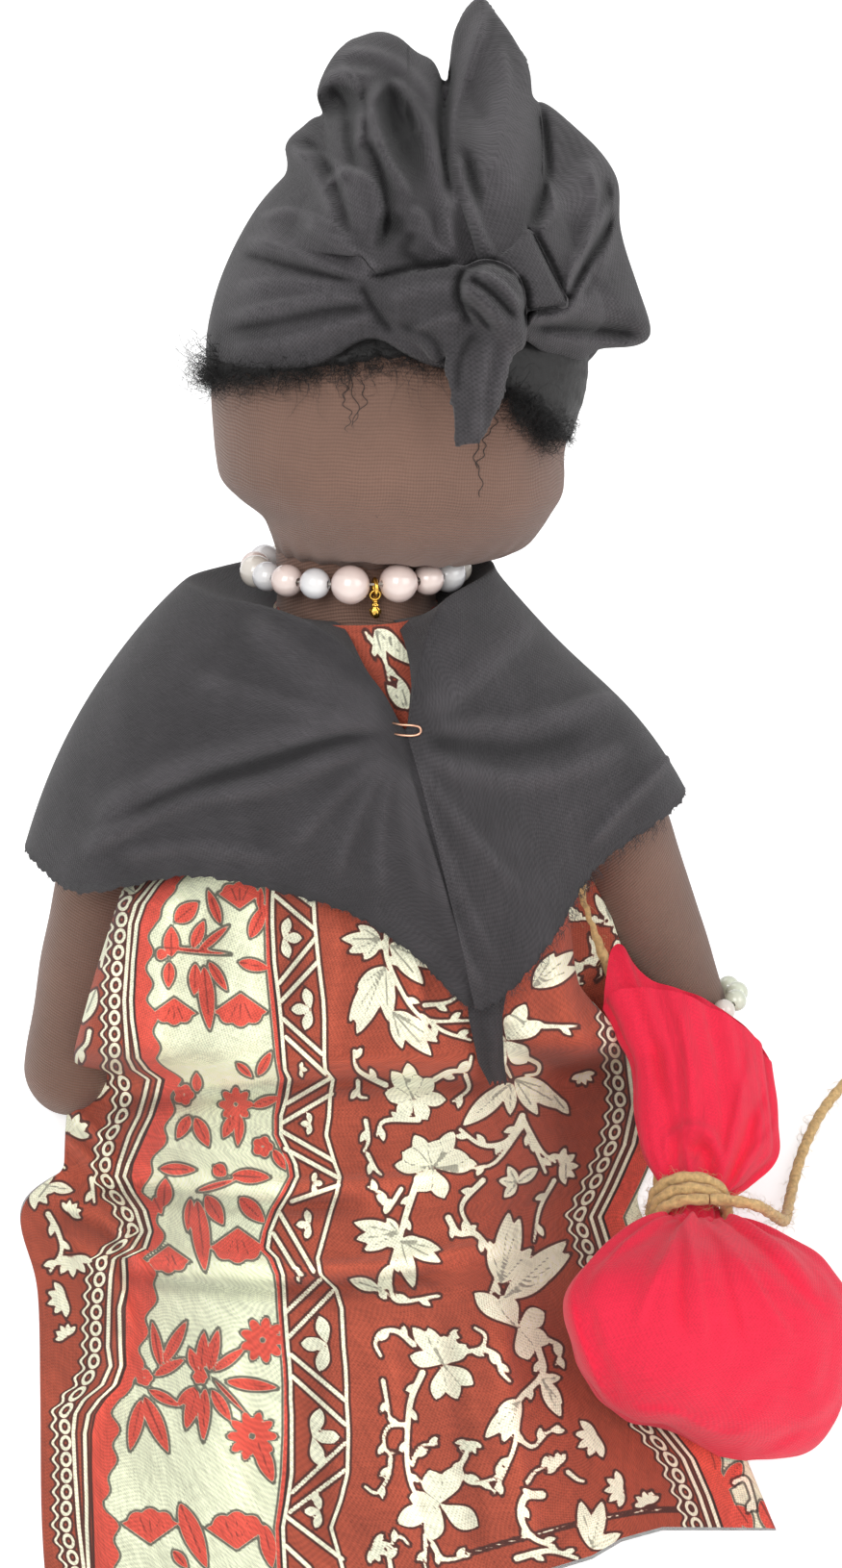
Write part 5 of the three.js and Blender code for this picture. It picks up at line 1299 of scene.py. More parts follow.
shawl_creases = [
    (16, 1.7, 0.45, [(412, 752), (360, 757), (297, 773), (208, 799), (141, 831), (90, 856)]),
    (15, 1.5, 0.5, [(408, 768), (345, 790), (280, 817), (200, 831), (124, 866), (80, 890)]),
    (13, -1.3, 0.8, [(405, 760), (340, 773), (260, 800), (170, 830), (110, 858)]),
    (10, 0.8, 0.6, [(408, 776), (370, 810), (330, 850), (300, 885)]),
    (9, 0.8, 0.6, [(411, 780), (385, 820), (362, 870), (350, 915)]),
    (8, 0.7, 0.6, [(413, 782), (402, 830), (396, 880), (400, 940)]),
    (8, 0.6, 0.6, [(415, 784), (420, 830), (430, 880), (448, 950)]),
    (9, 0.9, 0.35, [(420, 790), (432, 835), (452, 900), (480, 980), (505, 1035)]),
    (12, 1.0, 0.6, [(440, 757), (490, 753), (543, 750), (610, 732), (650, 726)]),
    (14, 1.2, 0.5, [(433, 775), (470, 795), (520, 806), (565, 803), (610, 790), (660, 768)]),
    (10, -0.9, 0.8, [(436, 768), (490, 776), (550, 778), (620, 758)]),
    (9, 0.7, 0.6, [(430, 785), (462, 830), (500, 880), (545, 930)]),
    (9, 0.6, 0.6, [(427, 790), (448, 850), (482, 930), (520, 1010)]),
    (18, 1.0, 0.7, [(250, 640), (300, 680), (350, 715), (400, 742)]),
    (16, 0.9, 0.7, [(560, 640), (520, 680), (475, 720), (438, 748)]),
    (12, 0.7, 0.6, [(190, 700), (260, 720), (330, 738), (400, 750)]),
    (9, 0.9, 0.35, [(604, 886), (640, 840), (680, 800), (705, 772)]),
    (10, 0.8, 0.6, [(120, 890), (180, 880), (240, 882), (300, 895)]),
]
shawl_turn = np.linspace(-0.004, 1.045, 420)[None]
shawl_down = np.linspace(-collar_share, 1, 150)[:, None]
shawl_grid = shawl_surface(shawl_turn, shawl_down)
shawl_fray = 0.5 * mm * np.sin(shawl_turn * 610) * np.sin(shawl_turn * 233 + 1) * ease(shawl_down, 0.96, 1)
shawl_grid += unit(shawl_grid[-1] - shawl_grid[-6]) * shawl_fray[..., None]
shawl_inside = on_body(0.0, 100 * mm, 0.0)
shawl_facing = ease((grid_normals(shawl_grid, shawl_inside) * toward_camera(shawl_grid)).sum(-1), 0.0, 0.3)
shawl_relief = 1.5 * creases(shawl_grid, shawl_creases) * ease(shawl_down, -0.02, 0.08) * shawl_facing
shawl_soft = 0.5 * mm * lumps(shawl_grid, 26 * mm, 41) + np.clip(shawl_relief, -0.8 * mm, None)
shawl_grid += grid_normals(shawl_grid, shawl_inside) * (shawl_soft + 0.2 * mm)[..., None]

black_cotton, black_tree, black_shader = new_material("black cotton", 0.88, sheen=0.12)
# its colour runs from a dark tone in the grooves of the folds to a light one on their ridges: painted shade
# and painted light over the cloth's own black
black_height = put(black_tree, "ShaderNodeMapRange", {0: kept(black_tree, "fold")["Fac"], 1: -1.0, 2: 1.0})
black_fold_shaded = mix(black_tree, black_height.outputs[0], colour(20, 18, 20), colour(71, 68, 71))
woven(black_tree, black_shader, black_fold_shaded, 0.5 * mm, 0.6, 90.0, 0.35, 0.14 * mm, 0.8)

shawl = cloth_surface("shawl_cloth", shawl_grid, outward=shawl_inside)
# the shawl's folds and lumps, for painted shade in the grooves and painted light on the ridges
lay_fold_shade(shawl, shawl_relief + 0.4 * mm * lumps(shawl_grid, 12 * mm, 42))
shawl.data.materials.append(black_cotton)
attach(shawl, "root")
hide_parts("shawl")

thread_random = np.random.default_rng(43)
hem_spots = np.concatenate([thread_random.integers(6, 75, 210), thread_random.integers(75, 410, 160),
                            thread_random.integers(335, 402, 160)])
hem_out = unit(shawl_grid[-1] - shawl_grid[-8])[hem_spots]
hem_side = unit(np.gradient(shawl_grid[-1], axis=0))[hem_spots]
thread_lean = thread_random.normal(size=(len(hem_spots), 1)) * 0.5
thread_heading = unit(hem_out + hem_side * thread_lean - np.array([0, 0, 0.3]))
thread_length = np.where(hem_spots < 75, thread_random.uniform(1, 5, len(hem_spots)),
                         thread_random.uniform(0.4, 1.6, len(hem_spots))) * mm
hem_threads = fibres("shawl_frayed_threads", shawl_grid[-1][hem_spots] - hem_out * 0.4 * mm, thread_heading,
                     thread_length, 0.09 * mm, 0.2, 44)
hem_threads.data.materials.append(black_cotton)
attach(hem_threads, "root")
# a narrow end of the under panel shows below the tip: it lies on the dress, along a cubic fit of its lap
strip_middle, strip_reach = np.array([508, 1080]), np.array([45, 75])
strip_seen = np.stack(pixel_of(front_grid), -1)
strip_facing = (grid_normals(front_grid, shawl_inside) * toward_camera(front_grid)).sum(-1)
strip_near = (np.abs(strip_seen - strip_middle) < strip_reach).all(-1) & (strip_facing > 0.1)


def strip_terms(seen_places):
    """The products of a picture place's two shares, up to the third power."""
    u, v = np.moveaxis((seen_places - strip_middle) / strip_reach, -1, 0)
    return np.stack([u ** i * v ** j for i in range(4) for j in range(4 - i)], -1)


strip_fit = np.linalg.lstsq(strip_terms(strip_seen[strip_near]), front_grid[strip_near], rcond=None)[0]
strip_down, strip_over = np.linspace(0, 1, 90)[:, None], np.linspace(0, 1, 30)[None]
strip_marks = [0, 0.35, 0.8, 1]
strip_left = np.interp(strip_down, strip_marks, [484, 487, 497, 508])
strip_right = np.interp(strip_down, strip_marks, [528, 522, 524, 527])
strip_top, strip_length = 1022, 104
strip_places = np.stack([strip_left + (strip_right - strip_left) * strip_over, strip_top
                         + strip_length * strip_down + 2.5 * np.sin(strip_over * 23) * strip_down ** 8], -1)
strip_grid = strip_terms(strip_places) @ strip_fit
strip_ripple = (0.5 + 0.25 * np.sin(strip_over * 9 + strip_down * 3)) * mm
strip_lift = (0.9 + 1.6 * strip_down) * mm + strip_ripple
strip_grid = strip_grid + toward_camera(strip_grid) * strip_lift[..., None]
strip = cloth_surface("shawl_under_end", strip_grid, outward=shawl_inside)
# its folds are kept 0.8 mm lower than they stand, so its colour is darker: painted shade under the tip of the
# upper panel
lay_fold_shade(strip, strip_ripple - 0.8 * mm)
strip.data.materials.append(black_cotton)
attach(strip, "root")
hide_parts("shawl")

# The safety pin is one bent length of copper-coloured wire. Its two legs go under the shawl's upper panel,
# and only its round end shows at the front.
pin_length, pin_width, pin_wire = 8 * mm, 2.3 * mm, 0.5 * mm
pin_place = shawl_surface(np.array([0.0]), np.array([0.04]))[0] + 2.6 * mm * spine - 0.6 * mm * across
pin_course = np.array([
    [-1, -0.5, -0.34], [-0.55, -0.5, -0.3], [-0.2, -0.5, -0.02], [0.1, -0.5, 0.06], [0.3, -0.36, 0.06],
    [0.36, 0, 0.06], [0.3, 0.36, 0.06], [0.1, 0.5, 0.06], [-0.2, 0.5, -0.02], [-0.55, 0.5, -0.3],
    [-1, 0.5, -0.34],
])
pin_path = pin_place + (pin_course[:, :1] * pin_length * across + pin_course[:, 1:2] * pin_width * spine
                        + (pin_course[:, 2:] * pin_length + 0.5 * mm) * front)
pin_path = through(pin_path, np.linspace(0, len(pin_course) - 1, 90))
copper = mottled_material("copper-coloured wire", 0.32, (216, 168, 142), 500.0, 0.15, metallic=1.0)
pin = surface("safety_pin_wire", wind(pin_path, pin_wire / 2, 12), round_across=True, capped=True)
pin.data.materials.append(copper)
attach(pin, "root")
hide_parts("safety_pin")

# The hair is short curly black fibre, sewn to the head as a cap whose edge shows under the wrap.
# Loose curls hang over the brow, a tuft stands out at one temple, and a flat patch lies behind the other.
head_sections = through(head_table, np.linspace(0, len(head_table) - 1, 500)) * mm


def on_head(turn, height, out):
    """A place over the head's skin: its turn round from the doll's left side over the face, its height along
    the spine and its distance from the skin."""
    turn, height = np.broadcast_arrays(turn, height)
    left, right, ahead, behind = (np.interp(height, head_sections[:, 0], column)
                                  for column in head_sections.T[1:])
    x = (left + right) / 2 + ((right - left) / 2 + out) * squarer(np.cos(turn), 2.15)
    forward = (ahead + behind) / 2 + ((ahead - behind) / 2 + out) * squarer(np.sin(turn), 2.15)
    return on_body(x, height, forward)


# turn in degrees and height of the hair's edge above the floor along the spine
hair_edge = np.array([
    [-180, 195.5], [-155, 186], [-90, 176], [-20, 181], [14, 181], [34, 184], [50, 190], [66, 197],
    [85, 201], [105, 199], [130, 196.5], [160, 195.5], [180, 195.5],
])


def hair_line(turn):
    """The height of the hair's edge at a turn."""
    degrees = (np.degrees(turn) + 180) % 360 - 180
    return np.interp(degrees, hair_edge[:, 0], hair_edge[:, 1]) * mm


hair = mottled_material("black hair fibre", 0.6, (17, 15, 15), 700.0, 0.5, 0.3 * mm)
cap_turn = np.linspace(0, 2 * math.pi, 200, endpoint=False)[None]
cap_up = np.linspace(0, 1, 70)[:, None]
cap_low = hair_line(cap_turn) + 0.6 * mm * np.sin(cap_turn * 41) * np.sin(cap_turn * 17 + 2)
cap_height = cap_low + (231.5 * mm - cap_low) * cap_up
cap_grid = on_head(cap_turn, cap_height, 1.25 * mm * ease(cap_up, -0.02, 0.04))
cap_grid = push_out(cap_grid, 0.4 * mm * lumps(cap_grid, 2.0 * mm, 51), head_centre)
cap = surface("hair_cap_fibre", cap_grid, round_across=True, outward=head_centre)
cap.data.materials.append(hair)
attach(cap, "head")
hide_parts("hair_cap")

hair_random = np.random.default_rng(52)


def curls(name, turns, heights, lengths, spread, curl, seed):
    """Curly hairs that leave the skin at these turns and heights and hang mostly down."""
    random = np.random.default_rng(seed)
    roots = on_head(turns, heights, 0.9 * mm)
    out = unit(roots - head_centre)
    heading = unit(-spine * 0.8 + out * 0.35 + random.normal(size=roots.shape) * spread)
    made = fibres(name, roots, heading, lengths, 0.065 * mm, curl, seed + 1)
    made.data.materials.append(hair)
    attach(made, "head")


# count, turns in degrees, heights over the hair's edge and lengths in millimetres, spread, curl and seed
for name, count, turned, risen, long, spread, curl, seed in (
        ("hair_fringe", 2300, (30, 172), (-1.4, 3.0), (2.0, 6.0), 0.6, 0.4, 53),
        ("hair_nape", 1300, (-186, 30), (-0.5, 4.5), (1.0, 2.0), 0.6, 0.4, 60),
        ("hair_side_curls", 420, (34, 58), (-1.5, 2), (3, 8), 0.7, 0.35, 55)):
    curl_turns = np.radians(hair_random.uniform(*turned, count))
    curl_heights = hair_line(curl_turns) + hair_random.uniform(*risen, count) * mm
    curls(name, curl_turns, curl_heights, hair_random.uniform(*long, count) * mm, spread, curl, seed)
stray_count = 34
stray_turns = np.radians(hair_random.uniform(45, 120, stray_count))
curls("hair_strays", stray_turns, hair_line(stray_turns) - 1 * mm,
      hair_random.uniform(6, 12, stray_count) * mm, 0.35, 0.14, 57)

# single long hairs over the face: turns in degrees and heights in millimetres, from and to
for number, (start_turn, end_turn, top, bottom) in enumerate((
        (101, 97, 199, 168), (97, 101, 196, 176), (104, 99, 197, 182), (66, 62, 196, 172),
        (58, 63, 193, 178))):
    way = np.linspace(0, 1, 60)
    wander = 0.9 * np.sin(way * 17 + number) + 0.6 * np.sin(way * 41 + 2 * number)
    hair_turn = np.radians(start_turn + (end_turn - start_turn) * way + wander)
    hair_path = on_head(hair_turn, (top + (bottom - top) * way) * mm, 0.25 * mm)
    long_hair = surface(f"hair_long_{number}", wind(hair_path, 0.08 * mm, 5), round_across=True, capped=True)
    long_hair.data.materials.append(hair)
    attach(long_hair, "head")

tuft_pixel, tuft_count = (231, 374), 120
tuft_root = sight([tuft_pixel], 20 * mm)[0] + np.array([1.2, 0, -0.4]) * mm
tuft_random = np.random.default_rng(58)
tuft_spread = tuft_random.normal(size=(tuft_count, 3))
tuft_heading = unit(np.array([-1.0, 0.05, -0.05]) + tuft_spread * [0.1, 0.25, 0.22])
tuft = fibres("hair_tuft_curls", tuft_root + tuft_spread * [0.3, 0.9, 1.1] * mm, tuft_heading,
              tuft_random.uniform(6, 11.5, tuft_count) * mm, 0.075 * mm, 0.34, 59)
tuft.data.materials.append(hair)
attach(tuft, "head")
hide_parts("hair_tuft")

# The head wrap is one long scarf of the same black cotton, wound round the crown and tied at the front. Its
# upper turns stand up as a loop and a peak, a wing lies over the left side, and a short tail hangs from the
# knot.
wrap_table = np.array([
    # height, left side, right side, front, back
    [195.0, -30.0, 50.0, 41.0, -38.0], [196.2, -31.6, 53.0, 43.4, -40.0], [199.0, -32.4, 55.5, 44.2, -41.2],
    [206.0, -31.6, 58.0, 44.6, -41.4], [215.0, -28.6, 57.5, 43.6, -40.5], [224.0, -24.3, 54.5, 40.6, -38.0],
    [233.0, -18.0, 50.5, 34.6, -34.0], [241.0, -9.0, 45.0, 26.6, -28.0], [248.0, 3.0, 38.0, 16.6, -20.0],
    [252.5, 14.0, 29.0, 7.0, -9.0],
])
wrap_grid, _ = oval_rings(wrap_table, 120, 70, 2.1)
wrap_share = np.linspace(0, 1, 70)[:, None]
wrap_across, wrap_forward = wrap_grid[..., 0], wrap_grid @ front
brow_place = (wrap_across - 5 * mm) / (8 * mm)
brow_rise = 6.5 * mm * np.exp(-(brow_place ** 2)) * ease(wrap_forward, 20 * mm, 36 * mm)
side_rise = 8 * mm * ease(wrap_across, 26 * mm, 40 * mm) * ease(wrap_forward, -12 * mm, 8 * mm)
wrap_rise = 0.075 * wrap_forward + brow_rise + side_rise
wrap_grid = wrap_grid + spine * (wrap_rise * (1 - ease(wrap_share, 0.0, 0.5)))[..., None]


def cushion(outline, centre, ahead, behind):
    """A closed soft form over an outline in pixels with its distance forward of the spine: it swells towards
    the camera and away from it by the root of one less the square of the way out from its centre."""
    count, rows = 96, 18
    rim_table = np.array(outline, float)
    rim = through(rim_table, np.linspace(0, len(outline), count, endpoint=False), closed=True)
    rim = sight(rim[:, :2], rim[:, 2] * mm)
    middle = sight([centre[:2]], np.array([centre[2]]) * mm)[0]
    way = np.sin(np.linspace(0.04, 1, rows) * math.pi / 2)
    swell = np.sqrt(1 - np.clip(way, 0, 1) ** 2)
    flat = middle + (rim[None] - middle) * way[:, None, None]
    near = flat + toward_camera(flat) * (swell * ahead * mm)[:, None, None]
    far = flat - toward_camera(flat) * (swell * behind * mm)[:, None, None]
    return np.concatenate([near, far[-2::-1]])


wrap_forms = [wrap_grid] + [cushion(*form) for form in (
    # the outline runs round each form: pixel across, pixel down, millimetres forward; then centre and swells
    # the puff on the doll's right side
    ([(253, 244, 6), (296, 183, 8), (297, 151, 9), (312, 134, 9), (336, 121, 10), (372, 150, 20),
      (382, 220, 36),
      (378, 262, 42), (340, 264, 40), (298, 256, 28)], (335, 205, 26), 7, 13),
    # the standing loop
    ([(336, 122, 14), (330, 93, 10), (352, 51, 5), (387, 33, 3), (411, 37, 4), (432, 53, 6), (452, 65, 9),
      (462, 100, 14), (463, 150, 24), (466, 200, 32), (442, 270, 42), (400, 286, 44), (375, 262, 42),
      (357, 210, 36),
      (343, 165, 26)], (400, 140, 22), 9, 12),
    # the standing peak
    ([(466, 67, 6), (472, 30, 2), (487, 7, 0), (498, -4, -1), (501, -4, -1), (523, 24, 2), (549, 65, 5),
      (554, 100, 10), (562, 112, 12), (564, 182, 26), (549, 237, 38), (518, 272, 44), (503, 280, 45),
      (488, 240, 42),
      (470, 190, 34), (462, 130, 22)], (512, 140, 20), 7, 8),
    # the wing over the doll's left side
    ([(556, 106, 6), (607, 141, 4), (641, 182, 5), (645, 237, 8), (662, 296, 8), (677, 342, 8), (664, 359, 9),
      (624, 363, 14), (603, 375, 18), (572, 370, 26), (545, 352, 38), (545, 330, 42), (552, 240, 36),
      (560, 180, 22)], (602, 270, 20), 9, 16),
    # a flat corner of the scarf beside the knot
    ([(552, 237, 41), (572, 277, 42), (590, 316, 42), (565, 321, 46), (542, 324, 48), (530, 298, 48),
      (518, 272, 47), (535, 254, 45)], (553, 288, 45), 1.4, 5),
    # the band that runs to the knot
    ([(366, 296, 40), (430, 282, 46), (480, 276, 50), (500, 300, 51), (487, 335, 51), (456, 376, 47),
      (435, 360, 45), (408, 346, 43), (386, 324, 41)], (435, 315, 46), 3.5, 9),
    # the knot
    ([(494, 271, 50), (520, 272, 50), (541, 290, 50), (548, 325, 50), (545, 362, 50), (524, 362, 50),
      (500, 344, 50),
      (480, 322, 50), (477, 290, 50)], (513, 316, 51), 6.5, 7),
    # the tail
    ([(495, 330, 51), (462, 374, 49.5), (466, 400, 49.5), (471, 430, 49), (471, 462, 48), (472, 465, 48),
      (486, 463, 48), (500, 461, 48), (501, 458, 48), (512, 438, 49), (524, 409, 50), (532, 378, 50),
      (544, 345, 50), (525, 335, 52)], (499, 398, 50), 1.6, 1.6),
)]


def one_skin(name, grids, voxel, smoothing):
    """Closed forms melted into one skin: their union is sampled on a grid of cells, then softened."""
    parts = [surface(f"{name}_{number}", grid, round_across=True, capped=True)
             for number, grid in enumerate(grids)]
    joined = bmesh.new()
    for part in parts:
        joined.from_mesh(part.data)
        bpy.data.objects.remove(part)
    mesh = bpy.data.meshes.new(name)
    joined.to_mesh(mesh)
    joined.free()
    made = new_object(name, mesh)
    remesh = made.modifiers.new("cells", "REMESH")
    remesh.mode, remesh.voxel_size = "VOXEL", voxel
    soften = made.modifiers.new("soften", "SMOOTH")
    soften.factor, soften.iterations = 0.5, smoothing
    ready = made.evaluated_get(bpy.context.evaluated_depsgraph_get())
    made.modifiers.clear()
    finished = bpy.data.meshes.new_from_object(ready)
    made.data = finished
    finished.shade_smooth()
    return made


def mesh_points(made):
    """The vertices of a mesh and their normals."""
    count = len(made.data.vertices)
    points, normals = np.empty(count * 3, np.float32), np.empty(count * 3, np.float32)
    made.data.vertices.foreach_get("co", points)
    made.data.vertex_normals.foreach_get("vector", normals)
    return points.reshape(-1, 3).astype(float), normals.reshape(-1, 3).astype(float)


wrap_creases = [
    (14, 1.3, 0.3, [(400, 290), (375, 287), (332, 275), (290, 258), (253, 246)]),
    (7, 1.3, 0.6, [(315, 230), (339, 244), (373, 265), (400, 288)]),
    (8, 1.7, 0.5, [(335, 205), (345, 186), (363, 178), (383, 188), (395, 208), (396, 235), (388, 258)]),
    (6, -2.2, 1.0, [(378, 140), (393, 168), (401, 205), (400, 240), (392, 262)]),
    (9, 2.6, 0.5, [(398, 82), (420, 92), (446, 134), (456, 172), (463, 203), (470, 250), (480, 275)]),
    (7, 2.2, 0.6, [(404, 82), (387, 107), (391, 138), (401, 165), (418, 192), (428, 213)]),
    (7, -4.0, 1.0, [(468, 60), (463, 100), (462, 138), (464, 180), (468, 222)]),
    (9, 2.4, 0.5, [(504, 0), (497, 38), (480, 89), (469, 127), (467, 165), (472, 215), (482, 262)]),
    (7, 2.0, 0.5, [(476, 158), (485, 192), (498, 237), (515, 272)]),
    (6, -2.5, 1.0, [(561, 106), (568, 182), (553, 243)]),
    (9, 2.4, 0.5, [(543, 332), (586, 322), (607, 294), (640, 237)]),
    (9, 2.2, 0.5, [(586, 312), (597, 275), (643, 194)]),
    (5, -2.0, 1.0, [(588, 322), (606, 280), (643, 215)]),
    (5, -2.0, 1.0, [(543, 340), (607, 341), (668, 348)]),
    (5, 1.4, 0.5, [(567, 180), (577, 220), (559, 244)]),
    (4, -1.8, 1.0, [(553, 235), (573, 277), (592, 318)]),
    (4, -1.5, 1.0, [(594, 317), (566, 322), (540, 326)]),
    (4, -2.0, 1.0, [(484, 276), (476, 296), (480, 318), (492, 340)]),
    (4, -2.0, 1.0, [(536, 284), (547, 306), (547, 345)]),
    (4, -1.6, 1.0, [(480, 281), (511, 273), (540, 290)]),
    (6, 1.6, 0.5, [(480, 296), (504, 312), (528, 342)]),
    (6, 1.6, 0.5, [(496, 280), (522, 296), (545, 322)]),
    (3.5, -1.8, 1.0, [(486, 287), (512, 305), (538, 334)]),
    (3.5, -1.3, 1.0, [(478, 312), (497, 326), (512, 346)]),
    (4, -1.8, 1.0, [(374, 290), (430, 279), (480, 273)]),
    (4, -1.2, 1.0, [(374, 294), (390, 324), (410, 348)]),
    (8, 0.8, 0.7, [(400, 310), (440, 300), (482, 298)]),
    (6, 1.0, 0.6, [(424, 346), (455, 332), (484, 326)]),
    (5, -1.0, 1.0, [(410, 335), (450, 352), (462, 382)]),
    (8, 1.0, 0.6, [(512, 346), (502, 400), (496, 458)]),
    (4, -0.9, 1.0, [(497, 342), (479, 372), (475, 412)]),
    (6, 0.9, 0.6, [(535, 350), (524, 385), (510, 430)]),
    (11, 1.5, 0.4, [(226, 330), (290, 316), (345, 308), (388, 312)]),
    (9, 1.2, 0.4, [(230, 362), (300, 352), (360, 335), (395, 325)]),
    (6, -1.3, 0.9, [(228, 345), (290, 334), (350, 322), (386, 320)]),
    (7, 1.3, 0.4, [(252, 246), (290, 256), (330, 272), (372, 288)]),
    (5, -1.4, 0.9, [(246, 262), (290, 274), (335, 286), (372, 296)]),
    (9, 1.2, 0.4, [(240, 296), (290, 292), (335, 292), (375, 298)]),
    (7, 1.6, 0.4, [(298, 148), (322, 170), (340, 205), (352, 244)]),
    (6, -1.6, 0.9, [(310, 140), (338, 168), (354, 205), (364, 250)]),
    (8, 1.4, 0.4, [(262, 226), (300, 218), (340, 232), (372, 258)]),
    (7, 1.6, 0.4, [(352, 62), (372, 92), (376, 128), (372, 160)]),
    (6, -1.8, 0.9, [(340, 84), (360, 112), (364, 150), (372, 186)]),
    (7, 1.6, 0.4, [(610, 160), (620, 205), (606, 262), (584, 306)]),
    (6, -1.6, 0.9, [(628, 176), (632, 226), (616, 286), (596, 322)]),
    (8, 1.3, 0.4, [(560, 350), (600, 352), (640, 356), (668, 356)]),
    (8, 1.2, 0.5, [(300, 160), (330, 160), (350, 172), (362, 190)]),
    (8, 1.2, 0.6, [(345, 60), (375, 52), (410, 62), (440, 88), (458, 120)]),
    (8, 1.1, 0.6, [(335, 80), (362, 74), (392, 80)]),
    (7, 0.9, 0.6, [(520, 40), (528, 90), (520, 150), (505, 200)]),
    (6, -1.2, 1.0, [(430, 240), (420, 262), (440, 278)]),
    (7, 1.2, 0.5, [(423, 215), (440, 225), (452, 250), (470, 272)]),
]
wrap_hollows = [
    (418, 136, 15, 44, -14, -6.5), (405, 236, 13, 12, 0, -3.2), (356, 107, 26, 15, 0, -4.5),
    (489, 186, 9, 28, -14, -3.0), (524, 150, 24, 62, 6, 2.6), (362, 214, 22, 26, 0, 1.6),
    (600, 200, 18, 40, 40, 2.0), (622, 318, 30, 14, 0, 1.5), (300, 300, 60, 40, 0, 1.0),
]
wrap = one_skin("head_wrap_scarf", wrap_forms, 0.68 * mm, 3)
wrap_points, wrap_normals = mesh_points(wrap)
wrap_ahead = (wrap_normals * toward_camera(wrap_points)).sum(-1)
wrap_facing, wrap_behind = ease(wrap_ahead, 0.02, 0.4), ease(-wrap_ahead, 0.15, 0.6)
wrap_relief = 1.45 * creases(wrap_points, wrap_creases) + 1.1 * hollows(wrap_points, wrap_hollows)
back_turn_height, back_wander_length, back_turn_depth = 13 * mm, 90 * mm, 0.8 * mm
wrap_wander = 3 * np.sin(wrap_points[:, 0] * 2 * math.pi / back_wander_length)
wrap_back = np.sin((wrap_points @ spine) * 2 * math.pi / back_turn_height + wrap_wander)
wrap_soft = wrap_behind * wrap_back * back_turn_depth + 0.3 * mm * lumps(wrap_points, 11 * mm, 61)
wrap_points = (wrap_points + toward_camera(wrap_points) * (wrap_relief * wrap_facing)[:, None]
               + wrap_normals * wrap_soft[:, None])
wrap.data.vertices.foreach_set("co", wrap_points.astype(np.float32).ravel())
wrap_around = np.arctan2(wrap_points[:, 0] - 12 * mm, -(wrap_points[:, 1] - 62 * mm))
store(wrap, "cloth", wrap_around * 44 * mm, wrap_points @ spine + wrap_around * 9 * mm,
      np.zeros(len(wrap_points)))
wrap.data.materials.append(black_cotton)
# the folds on the side seen from the front, for painted shade in the grooves and painted light on the ridges
lay_fold_shade(wrap, (wrap_relief + 0.5 * mm * lumps(wrap_points, 9 * mm, 62)) * wrap_facing)
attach(wrap, "head")
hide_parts("head_wrap")

# The necklace is nineteen pearls, white, cream and pink mixed, threaded one by one on a thin string round
# the neck. They touch or nearly touch, and each has a straight bore.
pearl_bore, string_diameter = 1.9 * mm, 0.5 * mm
necklace_centre = on_body(0.0, 151.3 * mm, 0.0)


def node_centre(node):
    """The middle of a node's box."""
    low_corner, high_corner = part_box(node)
    return (np.array(low_corner) + np.array(high_corner)) / 2


def bored_ball(name, centre, along_bore, diameter, bore, rows=30, around=40):
    """A ball with a straight bore: its profile goes over the ball and back through the bore."""
    radius = diameter / 2
    start = math.asin(bore / 2 / radius)
    angle = np.linspace(start + 0.03, math.pi - start - 0.03, rows)
    half_bore, mouth = bore / 2, radius * math.cos(start)
    profile = np.vstack([np.stack([radius * np.sin(angle), -radius * np.cos(angle)], -1),
                         [[half_bore + 0.02 * mm, mouth], [half_bore, mouth * 0.9], [half_bore, 0],
                          [half_bore, -mouth * 0.9], [half_bore + 0.02 * mm, -mouth]]])
    side = unit(np.cross(along_bore, [0.3, 0.5, 0.81]))
    other = np.cross(along_bore, side)
    turn = np.linspace(0, 2 * math.pi, around, endpoint=False)
    ring = np.cos(turn)[:, None] * side + np.sin(turn)[:, None] * other
    grid = centre + profile[:, None, :1] * ring[None] + profile[:, None, 1:] * along_bore
    return surface(name, grid, round_across=True, round_down=True)


def pearl_finish(name, body_colour, rim_colour):
    """Nacre: a pale body that turns to another tint where it is seen aslant, under a clear smooth coat."""
    material, tree, shader = new_material(name, 0.2, coat=0.8)
    shader.inputs["Coat Roughness"].default_value = 0.06
    shader.inputs["Specular IOR Level"].default_value = 0.6
    aslant = put(tree, "ShaderNodeLayerWeight", {"Blend": 0.35})
    tint = mix(tree, aslant.outputs["Facing"], colour(*body_colour), colour(*rim_colour))
    mottled(tree, shader, tint, 260.0, 0.05)
    return material


pearl_pink = pearl_finish("pink pearl", (240, 222, 214), (218, 190, 184))
pearl_white = pearl_finish("white pearl", (236, 235, 234), (204, 202, 210))
pearl_cream = pearl_finish("cream pearl", (238, 231, 221), (214, 202, 190))
nacres = {"p": pearl_pink, "w": pearl_white, "c": pearl_cream}
# on each side from the front: diameters in millimetres, and the pearls' colours by their first letters
pearl_rows = [("right", [8.5, 6.8, 7.2, 6.6, 7.4, 6.8, 7.6, 6.8, 7.2, 7], "pwpwcpwcpw"),
              ("left", [8.5, 7, 8, 6.8, 7.4, 6.8, 7.6, 6.8, 7], "ppwcpwcpw")]
pearl_centres = {"right": [], "left": []}
for word, sizes, letters in pearl_rows:
    for number, (size, letter) in enumerate(zip(sizes, letters), 1):
        node = f"pearl_{word}_{number:02d}"
        centre = node_centre(node)
        pearl_centres[word].append(centre)
        tangent = unit(np.cross(spine, centre - necklace_centre))
        pearl = bored_ball(f"{node}_nacre", centre, tangent, size * mm, pearl_bore)
        pearl.data.materials.append(nacres[letter])
        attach(pearl, "necklace")
        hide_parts(node)


